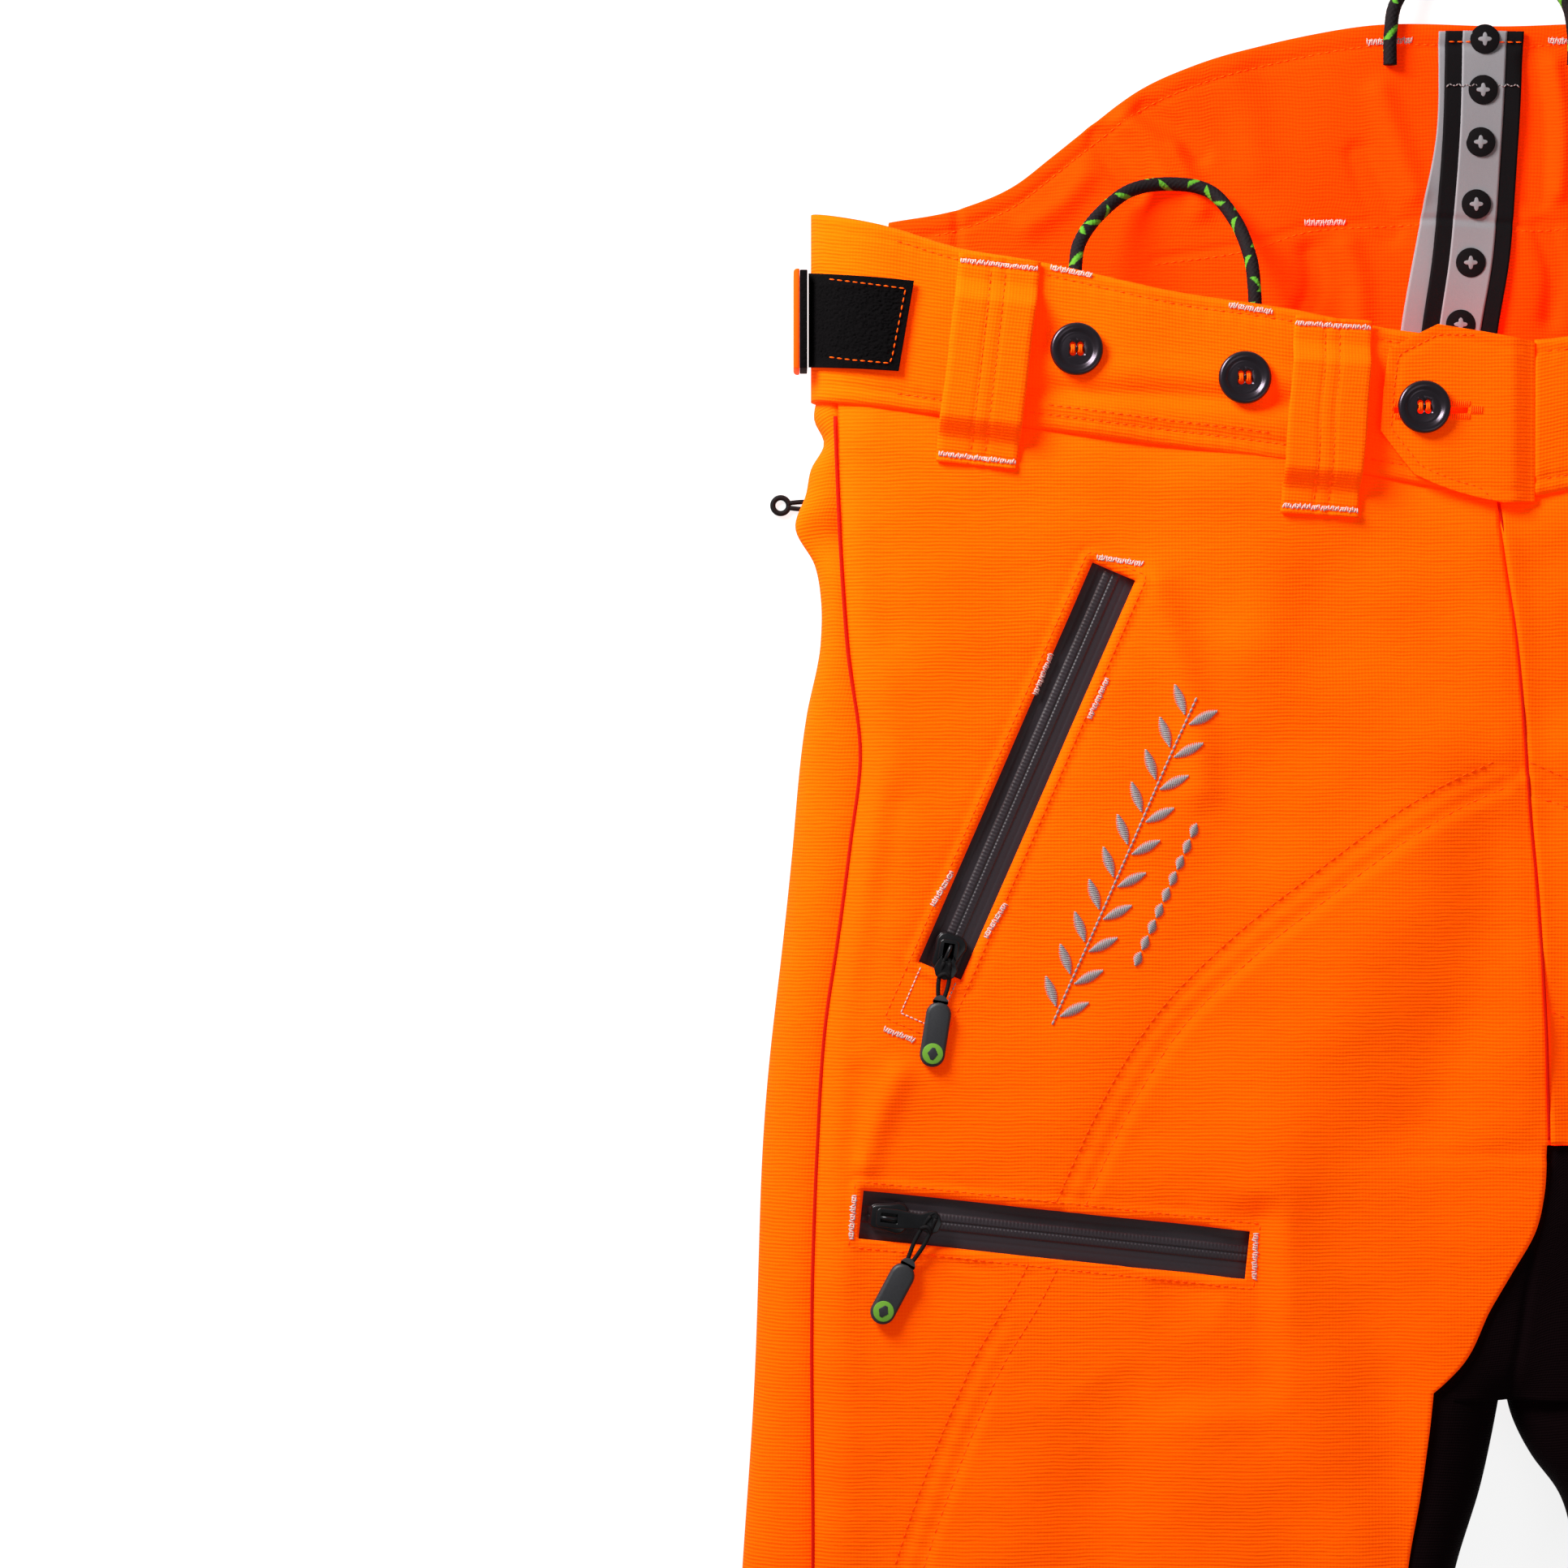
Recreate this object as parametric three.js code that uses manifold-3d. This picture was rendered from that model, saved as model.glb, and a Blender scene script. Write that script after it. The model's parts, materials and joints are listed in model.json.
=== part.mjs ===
// Chainsaw trousers lying flat on their back: an assembly of cloth panels, pads, zips and trims.
// Millimetres, +Z up, waist towards +Y. The wearer's right leg lies on the -X side.
// Origin: centre of the bounding box at the floor.
import * as THREE from 'three';
import Module from 'manifold-3d';
import { mergeVertices } from 'three/addons/utils/BufferGeometryUtils.js';

const wasm = await Module();
wasm.setup();

// Driving dimensions
const HEM_Y = -602.6;
const WAIST_Y = 602.6;
const GAP = 0.3;
const CLOTH = 3;
const TOP = 40;
const MID = TOP / 2;
const BAND_TOP = 41.5;
const BAND_CLOTH = 4;
const BAND_EDGE = 222;
const BAND_HALF = 250;
const RISE_HALF = 221.5;
const FORK_Y = 109;
const GUSSET_Y = 197;
const ZIP_OPENING = 17;
const TAPE_WIDTH = 28;
const TAPE_Z = 34.4;
const TAPE_CLOTH = 1.4;
const TAPE_SPARE = 6;
const COIL_WIDTH = 6;
const COIL_HEIGHT = 0.8;
const BAG_Z = 32.3;
const BAG_CLOTH = 1.8;
const PAD_Z = 22;
const PAD_THICK = 10;
const TAB_HINGE = 8.2;
const LOOP_CLOTH = 2;
const LOOP_LIFT = 5.3;
const BUTTON_RADIUS = 9.4;
const CORD_DIAMETER = 5;

// Half widths and edge lines, each a list of [y, x] read by straight lines between them
const OUTER = [[HEM_Y, 291], [-280, 286], [46, 274], [154, 268.5], [229, 264], [299, 257], [386, 247],
  [421, 253], [450, 247], [470, 247]];
const CREASE = [[HEM_Y, 264], [-280, 258], [46, 249], [154, 249], [194, 247], [244, 244], [305, 235.5],
  [336, 232], [374, 237], [455, 241]];
const INNER_RIGHT = [[HEM_Y, 66], [-280, 50], [-150, 41], [-60, 33], [0, 25], [46, 16.5], [73, 8],
  [93, 3.5], [FORK_Y, 0.3]];
const INNER_LEFT = [[HEM_Y, 66], [-280, 52], [-60, 40], [0, 34], [46, 27], [71, 20], [83, 11],
  [97, 3.4], [FORK_Y, 0.4]];
const STRIP_RIGHT = [[HEM_Y, 20], [46, 20], [73, 24], [FORK_Y, 27]];
const STRIP_LEFT = [[HEM_Y, 20], [46, 24], [73, 28], [FORK_Y, 42]];
const CENTRE = [[GUSSET_Y, 14], [244, 12.5], [276, 11], [322, 7], [374, 3], [427, -4]];
const GUSSET_RIGHT = [[FORK_Y, 27.3], [118, 18], [139, 7], [151, 0], [167, -9], [180, -12], [GUSSET_Y, -13]];
const GUSSET_LEFT = [[FORK_Y, 42.4], [139, 36], [167, 32], [GUSSET_Y, 31]];
const BAND_UPPER = [[-BAND_HALF, 531.6], [-221, 525], [-198, 518], [-169, 513], [-119, 502], [-79, 496],
  [-44, 489], [0, 484]];
const BAND_LOWER = [[-BAND_HALF, 464], [-206, 457.7], [-134, 448], [-79, 441], [-44, 435], [0, 427]];
const PAD_EDGE = [[-8, 318], [-32, 308], [-64, 286], [-93, 263], [-119, 237], [-134, 214], [-147, 188],
  [-166, 147], [-192, 98], [-211, 45], [-222, 0], [-230, -60], [-236, -150], [-240, -300], [-246, -555],
  [-86, -555], [-72, -280], [-61, -150], [-46, 0], [-37, 46], [-27, 98], [-10, 112]];
const RISE_EDGE = [[-RISE_HALF, 531], [-195, 536], [-174.5, 545], [-163, 554], [-148, 566], [-131, 578.6],
  [-110.7, 588], [-87.5, 595], [-64, 600], [-47, WAIST_Y]];
const BRACE_CORD = [[-155, 503, 34.3], [-155, 513, 32], [-152.8, 522, 27], [-145.5, 532.2, 20],
  [-133.9, 541.7, 13], [-119.4, 544.6, 9.6], [-104.9, 541.7, 11], [-96.2, 530.1, 18], [-91.9, 516.2, 27],
  [-90.9, 504, 32.5], [-90.7, 492, 34.3]];
const BACK_CORD = [[-39, 588, 9.4], [-38.8, 600, 9.5], [-36, 612, 8], [-24, 626, 4], [-5.5, 632, 3],
  [13, 626, 4], [25, 612, 8], [27.8, 600, 9.5], [28, 588, 9.4]];

// Zips: outer end and direction of each straight zip line on the wearer's right
const HAND_ZIP = { end: [-204, 259.4], towards: [-141.9, 402] };
const THIGH_ZIP = { end: [-232.2, 172.3], towards: [-94.1, 157.7] };
const REAR_ZIP = { end: [-236, 428], towards: [-96, 428] };

// Materials
const finish = (color, roughness, metalness = 0) =>
  new THREE.MeshStandardMaterial({ color, roughness, metalness });
const ORANGE = finish(0xff6a00, 0.85);
const ORANGE_INSIDE = finish(0xf94a05, 0.88);
const BLACK_STRETCH = finish(0x110809, 0.9);
const TAPE_BLACK = finish(0x352b31, 0.5);
const SLIDER_BLACK = finish(0x1b1b1f, 0.35, 0.6);
const PULL_RUBBER = finish(0x2b2b30, 0.6);
const BUTTON_METAL = finish(0x37323a, 0.3, 0.8);
const HOOK_BLACK = finish(0x0b0b0d, 0.95);
const CORD_BLACK = finish(0x14140f, 0.8);
const RIBBON_GREY = finish(0x9a9a9e, 0.6);
const PAD_WHITE = finish(0xd8d4c8, 0.9);
const BAG_GREY = finish(0x3a3a3e, 0.9);

const group = new THREE.Group();

function add(name, geometry, material) {
  const mesh = new THREE.Mesh(geometry, material);
  mesh.name = name;
  group.add(mesh);
}

// Straight-line reading of a table of [key, value]
function read(table, key) {
  for (let i = 1; i < table.length; i++) {
    const [k0, v0] = table[i - 1];
    const [k1, v1] = table[i];
    if (key <= k1 || i === table.length - 1) {
      return v0 + ((v1 - v0) * Math.min(1, Math.max(0, (key - k0) / (k1 - k0))));
    }
  }
  return table[0][1];
}

// A closed geometry from indexed points, turned inside out if its volume comes out negative
function closed(points, faces) {
  let volume = 0;
  for (const [a, b, c] of faces) {
    volume += points[a].dot(new THREE.Vector3().crossVectors(points[b], points[c]));
  }
  const index = faces.flatMap(([a, b, c]) => (volume < 0 ? [a, c, b] : [a, b, c]));
  const geometry = new THREE.BufferGeometry();
  geometry.setAttribute('position', new THREE.Float32BufferAttribute(points.flatMap((p) => p.toArray()), 3));
  geometry.setIndex(index);
  return geometry;
}

// A sheet of cloth: outer and inner faces given as functions of the row and column, with closed edges
function sheet(rows, columns, outer, inner) {
  const points = [];
  for (const face of [outer, inner]) {
    for (let i = 0; i < rows; i++) {
      for (let j = 0; j < columns; j++) points.push(face(i, j));
    }
  }
  const at = (face, i, j) => (face * rows + i) * columns + j;
  const faces = [];
  const quad = (a, b, c, d) => faces.push([a, b, c], [a, c, d]);
  for (let i = 0; i + 1 < rows; i++) {
    for (let j = 0; j + 1 < columns; j++) {
      quad(at(0, i, j), at(0, i, j + 1), at(0, i + 1, j + 1), at(0, i + 1, j));
      quad(at(1, i, j), at(1, i + 1, j), at(1, i + 1, j + 1), at(1, i, j + 1));
    }
    quad(at(0, i, 0), at(0, i + 1, 0), at(1, i + 1, 0), at(1, i, 0));
    quad(at(0, i + 1, columns - 1), at(0, i, columns - 1), at(1, i, columns - 1), at(1, i + 1, columns - 1));
  }
  for (let j = 0; j + 1 < columns; j++) {
    quad(at(0, 0, j + 1), at(0, 0, j), at(1, 0, j), at(1, 0, j + 1));
    quad(at(0, rows - 1, j), at(0, rows - 1, j + 1), at(1, rows - 1, j + 1), at(1, rows - 1, j));
  }
  return closed(points, faces);
}

// A flat plate over an outline of [x, y]
function plate(outline, bottom, thickness) {
  const shape = new THREE.Shape(outline.map(([x, y]) => new THREE.Vector2(x, y)));
  const geometry = new THREE.ExtrudeGeometry(shape, { depth: thickness, bevelEnabled: false });
  return geometry.translate(0, 0, bottom);
}

// A stadium-shaped outline along X, from its left end to its right end
function stadium(left, right, width) {
  const r = width / 2;
  const outline = [];
  for (let i = 0; i <= 6; i++) {
    const angle = -Math.PI / 2 + (Math.PI * i) / 6;
    outline.push([right - r + r * Math.cos(angle), r * Math.sin(angle)]);
  }
  return outline.concat(outline.map(([x, y]) => [left + right - x, -y]));
}

function solid(geometry) {
  const bare = geometry.clone();
  bare.deleteAttribute('normal');
  bare.deleteAttribute('uv');
  const merged = mergeVertices(bare, 1e-4);
  return new wasm.Manifold(new wasm.Mesh({
    numProp: 3,
    vertProperties: new Float32Array(merged.attributes.position.array),
    triVerts: new Uint32Array(merged.index.array),
  }));
}

function geometryOf(body) {
  const mesh = body.getMesh();
  const geometry = new THREE.BufferGeometry();
  geometry.setAttribute('position', new THREE.Float32BufferAttribute(mesh.vertProperties, mesh.numProp));
  geometry.setIndex(Array.from(mesh.triVerts));
  return geometry;
}

const cut = (geometry, ...tools) =>
  geometryOf(tools.reduce((body, tool) => body.subtract(solid(tool)), solid(geometry)));
const join = (geometry, ...others) =>
  geometryOf(others.reduce((body, other) => body.add(solid(other)), solid(geometry)));

// The same piece on the other side of the centre plane
function mirrored(geometry) {
  const copy = geometry.index ? geometry.toNonIndexed() : geometry.clone();
  copy.scale(-1, 1, 1);
  const p = copy.attributes.position;
  for (let i = 0; i < p.count; i += 3) {
    const second = new THREE.Vector3().fromBufferAttribute(p, i + 1);
    const third = new THREE.Vector3().fromBufferAttribute(p, i + 2);
    p.setXYZ(i + 1, third.x, third.y, third.z);
    p.setXYZ(i + 2, second.x, second.y, second.z);
  }
  return copy;
}

function addPair(stem, geometry, material) {
  add(`${stem}_right`, geometry, material);
  add(`${stem}_left`, mirrored(geometry), material);
}

// A box with its middle at [x, y], turned in the plane by an angle
function block(x, y, z0, z1, length, width, angle = 0) {
  return new THREE.BoxGeometry(length, width, z1 - z0)
    .rotateZ(angle)
    .translate(x, y, (z0 + z1) / 2);
}

const zipAngle = ({ end, towards }) => Math.atan2(towards[1] - end[1], towards[0] - end[0]);
const zipLength = ({ end, towards }) => Math.hypot(towards[0] - end[0], towards[1] - end[1]);
const zipPoint = (zip, distance) => [
  zip.end[0] + distance * Math.cos(zipAngle(zip)),
  zip.end[1] + distance * Math.sin(zipAngle(zip)),
];
function zipOpening(zip, z0, z1) {
  const [x, y] = zipPoint(zip, zipLength(zip) / 2);
  return block(x, y, z0, z1, zipLength(zip), ZIP_OPENING, zipAngle(zip));
}

// Front panels: cloth from the side crease to the centre seam or the black panel
const FRONT_ROWS = [HEM_Y, -280, -150, -60, 0, 46, 73, 93, FORK_Y - GAP, 118, 139, 151, 167, 180,
  GUSSET_Y, GUSSET_Y + GAP, 244, 276, 322, 350, 374, 400, 420, 440];
const EDGE_DROP = 6;
const EDGE_ROLL = 14;
const SEAM_GAP = 1.6;

function frontInner(side, y) {
  if (y > GUSSET_Y) return side * read(CENTRE, y) + GAP / 2;
  if (y > FORK_Y) return side < 0 ? read(GUSSET_RIGHT, y) + GAP : read(GUSSET_LEFT, y) + GAP;
  const [line, strip] = side < 0 ? [INNER_RIGHT, STRIP_RIGHT] : [INNER_LEFT, STRIP_LEFT];
  return read(line, y) + read(strip, y) + GAP;
}

function frontPanel(side) {
  const columns = [0, 5, EDGE_ROLL];
  const spread = [0.25, 0.5, 0.75, 1];
  const point = (i, j, depth) => {
    const base = FRONT_ROWS[i];
    const outer = read(CREASE, base);
    const inner = frontInner(side, base);
    const inset = j < columns.length ? columns[j] : 0;
    const start = outer - EDGE_ROLL;
    const half = j < columns.length ? outer - inset : start + (inner - start) * spread[j - columns.length];
    const drop = j < columns.length ? EDGE_DROP * (1 - inset / EDGE_ROLL) ** 2 : 0;
    const lift = Math.min(1, Math.max(0, (base - 350) / 90));
    const seam = read(BAND_LOWER, -Math.abs(half)) - SEAM_GAP;
    const y = base + lift * (seam - 440);
    return new THREE.Vector3(side * half, y, TOP - drop - depth);
  };
  const count = columns.length + spread.length;
  return sheet(FRONT_ROWS.length, count, (i, j) => point(i, j, 0), (i, j) => point(i, j, CLOTH));
}

add('front_panel_right', cut(frontPanel(-1), zipOpening(HAND_ZIP, 0, 60), zipOpening(THIGH_ZIP, 0, 60)),
  ORANGE);
add('front_panel_left', cut(frontPanel(1), mirrored(zipOpening(HAND_ZIP, 0, 60)),
  mirrored(zipOpening(THIGH_ZIP, 0, 60))), ORANGE);

// Back panels lie flat; the seat seam is at the centre
const LEG_ROLL = 17;
const BACK_TOP = 446;
const SIDE_ROWS = [HEM_Y, -280, 46, 154, 194, 244, 305, 336, 374, 405, 421, 438];
function backPanel(side) {
  const line = side < 0 ? INNER_RIGHT : INNER_LEFT;
  const outline = [...SIDE_ROWS, BACK_TOP].map((y) => [side * (read(CREASE, y) - GAP), y]);
  outline.push([side * GAP / 2, BACK_TOP], [side * GAP / 2, FORK_Y]);
  outline.push([side * (read(line, FORK_Y) + LEG_ROLL + GAP), FORK_Y]);
  const legs = [93, 73, 46, 0, -60, -150, -280, HEM_Y];
  outline.push(...legs.map((y) => [side * (read(line, y) + LEG_ROLL + GAP), y]));
  if (side > 0) outline.reverse();
  return plate(outline, 0, CLOTH);
}
const rearOpening = zipOpening(REAR_ZIP, -10, 10);
const rearNotch = block(-245, REAR_ZIP.end[1], -5, 5.5, 60, ZIP_OPENING);
add('back_panel_right', cut(backPanel(-1), rearOpening, rearNotch), ORANGE);
add('back_panel_left', cut(backPanel(1), mirrored(rearOpening), mirrored(rearNotch)), ORANGE);

// The back panel wraps round the side of the leg and ends under the crease of the front panel
const WRAP_ROWS = [...SIDE_ROWS, 456];
const WRAP_STEPS = 9;
const WRAP_HALF = 15.25;
function sideWrap() {
  const point = (i, j, depth) => {
    const y = WRAP_ROWS[i];
    const angle = Math.PI * (0.5 - j / (WRAP_STEPS - 1));
    const centre = read(CREASE, y);
    const reach = read(OUTER, y) - centre - depth;
    const x = centre + reach * Math.cos(angle);
    return new THREE.Vector3(-x, y, WRAP_HALF + (WRAP_HALF - depth) * Math.sin(angle));
  };
  return sheet(WRAP_ROWS.length, WRAP_STEPS, (i, j) => point(i, j, 0), (i, j) => point(i, j, CLOTH));
}
addPair('back_panel_side', cut(sideWrap(), rearNotch), ORANGE);

// Black stretch panels wrap round the inside of each leg from the front seam to the back seam
const LEG_ROWS = [HEM_Y, -280, -150, -60, 0, 46, 73, 93, FORK_Y - GAP];
function innerLeg(side) {
  const [line, strip] = side < 0 ? [INNER_RIGHT, STRIP_RIGHT] : [INNER_LEFT, STRIP_LEFT];
  const steps = 10;
  const point = (i, j, depth) => {
    const y = LEG_ROWS[i];
    const inner = read(line, y);
    const angle = (Math.PI * j) / (steps - 1);
    const width = angle < Math.PI / 2 ? read(strip, y) : LEG_ROLL;
    const x = inner + width - (width - depth) * Math.sin(angle);
    return new THREE.Vector3(side * x, y, MID + (MID - depth) * Math.cos(angle));
  };
  return sheet(LEG_ROWS.length, steps, (i, j) => point(i, j, 0), (i, j) => point(i, j, CLOTH));
}
add('inner_leg_panel_right', innerLeg(-1), BLACK_STRETCH);
add('inner_leg_panel_left', innerLeg(1), BLACK_STRETCH);
const gussetRight = GUSSET_RIGHT.map(([y, x]) => [-x, y]);
const gussetLeft = GUSSET_LEFT.map(([y, x]) => [x, y]).reverse();
add('crotch_gusset', plate([...gussetRight, ...gussetLeft].reverse(), TOP - CLOTH, CLOTH), BLACK_STRETCH);

// Front waistband: flat over the front, rolled round the side down to the back rise
const CORNER_STEPS = 8;
function waistband(side) {
  const flats = [side < 0 ? 0 : TAB_HINGE + GAP, 44, 79, 119, 169, 198];
  const count = flats.length + CORNER_STEPS + 1;
  const centre = BAND_TOP / 2;
  const point = (i, j, depth) => {
    let x = flats[j];
    let z = BAND_TOP - depth;
    if (j >= flats.length) {
      const angle = Math.PI * (0.5 - (j - flats.length) / CORNER_STEPS);
      x = BAND_EDGE + (BAND_HALF - BAND_EDGE - depth) * Math.cos(angle);
      z = centre + (centre - depth) * Math.sin(angle);
    }
    const low = read(BAND_LOWER, -Math.abs(x));
    const high = read(BAND_UPPER, -Math.abs(x));
    return new THREE.Vector3(side * x, low + (high - low) * (i / 2), z);
  };
  return sheet(3, count, (i, j) => point(i, j, 0), (i, j) => point(i, j, BAND_CLOTH));
}
add('waistband_right', waistband(-1), ORANGE);
add('waistband_left', waistband(1), ORANGE);

// Waist tab: the pointed end of the left band, buttoned over the right band
const TAB_Z = BAND_TOP + GAP;
const TAB_CLOTH = 2.5;
const BUTTON_PLACE = [-31.9, 460.3];
const tabOutline = [[-26.7, 490], [-44, 481], [-47, 452], [-35, 436.5], [-21, 430.7], [-3.5, 426.5],
  [TAB_HINGE, 427], [TAB_HINGE, 484]];
const buttonhole = block(BUTTON_PLACE[0] + 6, BUTTON_PLACE[1], 0, 60, 22, 5, -0.2);
add('waist_tab', cut(plate(tabOutline, TAB_Z, TAB_CLOTH), buttonhole), ORANGE);

// High back rise: outer cloth, elastic and inner facing, one above the other
const riseOutline = [[-RISE_HALF, 448], ...RISE_EDGE];
const fullRise = [...riseOutline, ...riseOutline.map(([x, y]) => [-x, y]).reverse()];
add('back_rise_outer', plate(fullRise, 0, 2.4), ORANGE);
add('back_elastic', block(0, 480, 2.7, 4.2, 400, 45), PAD_WHITE);
add('back_rise_facing', plate(fullRise, 4.5, 2), ORANGE_INSIDE);

// Hanger ribbon on the facing
add('hanger_ribbon', plate([[-18, 601], [-20, 560], [-23, 520], [-28, 470], [-1, 470], [5, 520], [8, 560],
  [10, 601]], 6.8, 1.5), RIBBON_GREY);

// Belt loops: a strap sewn down at both ends and standing off the band between them
const LOOPS = {
  side: { centre: [-187, 476.8], length: 74.6, width: 29, angle: Math.atan2(74.1, 8.4) },
  front: { centre: [-66.2, 457.1], length: 70.4, width: 28, angle: Math.atan2(70.2, 4.9) },
};
function beltLoop({ centre, length, width, angle }) {
  const half = length / 2;
  const foot = 9;
  const ramp = 6;
  const low = BAND_TOP + GAP;
  const high = low + LOOP_LIFT;
  const under = [[-half, low], [-half + foot, low], [-half + foot + ramp, high], [half - foot - ramp, high],
    [half - foot, low], [half, low]];
  const over = under.map(([x, z]) => [x, z + LOOP_CLOTH]).reverse();
  const shape = new THREE.Shape([...under, ...over].map(([x, z]) => new THREE.Vector2(x, z)));
  return new THREE.ExtrudeGeometry(shape, { depth: width, bevelEnabled: false })
    .translate(0, 0, -width / 2)
    .rotateX(Math.PI / 2)
    .rotateZ(angle)
    .translate(centre[0], centre[1], 0);
}
addPair('belt_loop_side', beltLoop(LOOPS.side), ORANGE);
addPair('belt_loop_front', beltLoop(LOOPS.front), ORANGE);

// Four-hole metal buttons with a raised rim
const HOLE_RADIUS = 1.1;
const HOLE_OFFSET = 1.9;
function button([x, y], bottom) {
  const r = BUTTON_RADIUS;
  const profile = [[0, 0], [r - 1.2, 0], [r, 1.2], [r, 2.2], [r - 0.9, 3], [r - 2.6, 3], [r - 3.6, 2], [0, 2]]
    .map(([px, pz]) => new THREE.Vector2(px, pz));
  const body = new THREE.LatheGeometry(profile, 20).rotateX(Math.PI / 2);
  const holes = [0, 1, 2, 3].map((i) => {
    const angle = Math.PI / 4 + (i * Math.PI) / 2;
    return new THREE.CylinderGeometry(HOLE_RADIUS, HOLE_RADIUS, 10, 8)
      .rotateX(Math.PI / 2)
      .translate(HOLE_OFFSET * Math.cos(angle), HOLE_OFFSET * Math.sin(angle), 1);
  });
  return cut(body, ...holes).translate(x, y, bottom);
}
const BRACE_Z = BAND_TOP + GAP;
addPair('brace_button_outer', button([-155.4, 481.2], BRACE_Z), BUTTON_METAL);
addPair('brace_button_inner', button([-95.4, 471], BRACE_Z), BUTTON_METAL);
add('waist_button', button(BUTTON_PLACE, TAB_Z + TAB_CLOTH + GAP), BUTTON_METAL);

// Hook-and-loop: the soft patch follows the roll of the band, the hook tab stands beside it
const PATCH_CLOTH = 2;
function loopPatch() {
  const steps = 5;
  const point = (i, j, lift) => {
    const angle = Math.PI * (0.5 - (j - 1) / CORNER_STEPS);
    const centre = BAND_TOP / 2;
    const x = j === 0 ? 214.5 : BAND_EDGE + (BAND_HALF - BAND_EDGE + lift) * Math.cos(angle);
    const z = j === 0 ? BAND_TOP + lift : centre + (centre + lift) * Math.sin(angle);
    const skew = (x - 214.5) * 0.12;
    return new THREE.Vector3(-x, (i === 0 ? 473 : 506) + skew, z);
  };
  return sheet(2, steps, (i, j) => point(i, j, GAP + PATCH_CLOTH), (i, j) => point(i, j, GAP));
}
addPair('loop_patch', loopPatch(), HOOK_BLACK);
const HOOK_TAB = { inner: 252.8, outer: 256.3, low: 9, high: 34, y0: 475, y1: 511 };
addPair('hook_tab', new THREE.BoxGeometry(HOOK_TAB.outer - HOOK_TAB.inner, HOOK_TAB.y1 - HOOK_TAB.y0,
  HOOK_TAB.high - HOOK_TAB.low).translate(-(HOOK_TAB.inner + HOOK_TAB.outer) / 2,
  (HOOK_TAB.y0 + HOOK_TAB.y1) / 2, (HOOK_TAB.low + HOOK_TAB.high) / 2), ORANGE);

// Brace cords: tubes along a hand-laid route
function cordTube(route) {
  const curve = new THREE.CatmullRomCurve3(route.map((p) => new THREE.Vector3(...p)));
  const section = new THREE.Shape();
  section.absarc(0, 0, CORD_DIAMETER / 2, 0, Math.PI * 2);
  return new THREE.ExtrudeGeometry(section, {
    extrudePath: curve, steps: 18, curveSegments: 8, bevelEnabled: false,
  });
}
addPair('brace_cord', cordTube(BRACE_CORD), CORD_BLACK);
add('brace_cord_back', cordTube(BACK_CORD), CORD_BLACK);

// Cut-protection pads and pocket bags, inside the legs
const pad = plate(PAD_EDGE, PAD_Z, PAD_THICK);
const FLY_ROOM = block(0, 200, 0, 60, 90, 250);
add('protection_pad_right', pad, PAD_WHITE);
add('protection_pad_left', cut(mirrored(pad), FLY_ROOM), PAD_WHITE);
const HAND_BAG = [[-231, 262], [-222, 330], [-192, 392], [-150, 410], [-126, 405], [-150, 330], [-172, 262],
  [-150, 215], [-158, 196], [-225, 196]];
addPair('hand_pocket_bag', plate(HAND_BAG, BAG_Z, BAG_CLOTH), BAG_GREY);
const THIGH_BAG = [[-240, 184], [-84, 172], [-88, 60], [-100, 40], [-215, 40], [-230, 60]];
addPair('thigh_pocket_bag', plate(THIGH_BAG, BAG_Z, BAG_CLOTH), BAG_GREY);

// Zips: a tape with its coil behind the opening, a slider on it, and a pull on the slider
function tape(length, up = 1) {
  const wide = TAPE_WIDTH / 2;
  const coil = COIL_WIDTH / 2;
  const half = [[wide, 0], [wide, TAPE_CLOTH], [coil, TAPE_CLOTH], [coil * 0.7, TAPE_CLOTH + COIL_HEIGHT]];
  const section = [...half, ...half.map(([x, z]) => [-x, z]).reverse()];
  const shape = new THREE.Shape(section.map(([x, z]) => new THREE.Vector2(x, z * up)));
  return new THREE.ExtrudeGeometry(shape, { depth: length, bevelEnabled: false })
    .translate(0, 0, -length / 2)
    .rotateX(Math.PI / 2)
    .rotateZ(Math.PI / 2);
}

function onZip(geometry, zip, distance, z) {
  const [x, y] = zipPoint(zip, distance);
  return geometry.rotateZ(zipAngle(zip)).translate(x, y, z);
}

const SLIDER_LENGTH = 13.6;
const BRIDGE = { length: 3.4, width: 4.6, height: 3.4 };
function slider(height) {
  const half = SLIDER_LENGTH / 2;
  const body = plate([[-half, -3.6], [half - 4, -5.8], [half, -4], [half, 4], [half - 4, 5.8], [-half, 3.6]],
    0, height);
  const bridge = new THREE.BoxGeometry(BRIDGE.length, BRIDGE.width, BRIDGE.height + 1)
    .translate(0, 0, height + (BRIDGE.height - 1) / 2);
  return join(body, bridge);
}

// The pull's eye goes round the slider's bridge; the cord runs from the ring to the rubber grip
const PULL_PLATE = 1.6;
const GRIP = { length: 23.5, width: 9, thickness: 3.8, drop: 0.9 };
const EYE_CLEAR = 0.8;
function pullTab(length, width) {
  const body = plate(stadium(-4.6, length, width), 0, PULL_PLATE);
  const eye = new THREE.BoxGeometry(BRIDGE.width + EYE_CLEAR, BRIDGE.width + EYE_CLEAR, 8);
  return cut(body, eye);
}
function cordGrip(cordLength) {
  const cord = new THREE.BoxGeometry(cordLength + 4, 3.6, 1.4).translate(cordLength / 2, 0, 0.8);
  const grip = plate(stadium(cordLength, cordLength + GRIP.length, GRIP.width), -GRIP.drop, GRIP.thickness);
  return join(cord, grip);
}

const SLIDER_Z = TAPE_Z + TAPE_CLOTH + COIL_HEIGHT + GAP;
const SLIDER_HEIGHT = 4;
const PULL_GAP = 0.5;
const PULL_Z = SLIDER_Z + SLIDER_HEIGHT + PULL_GAP;

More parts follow.
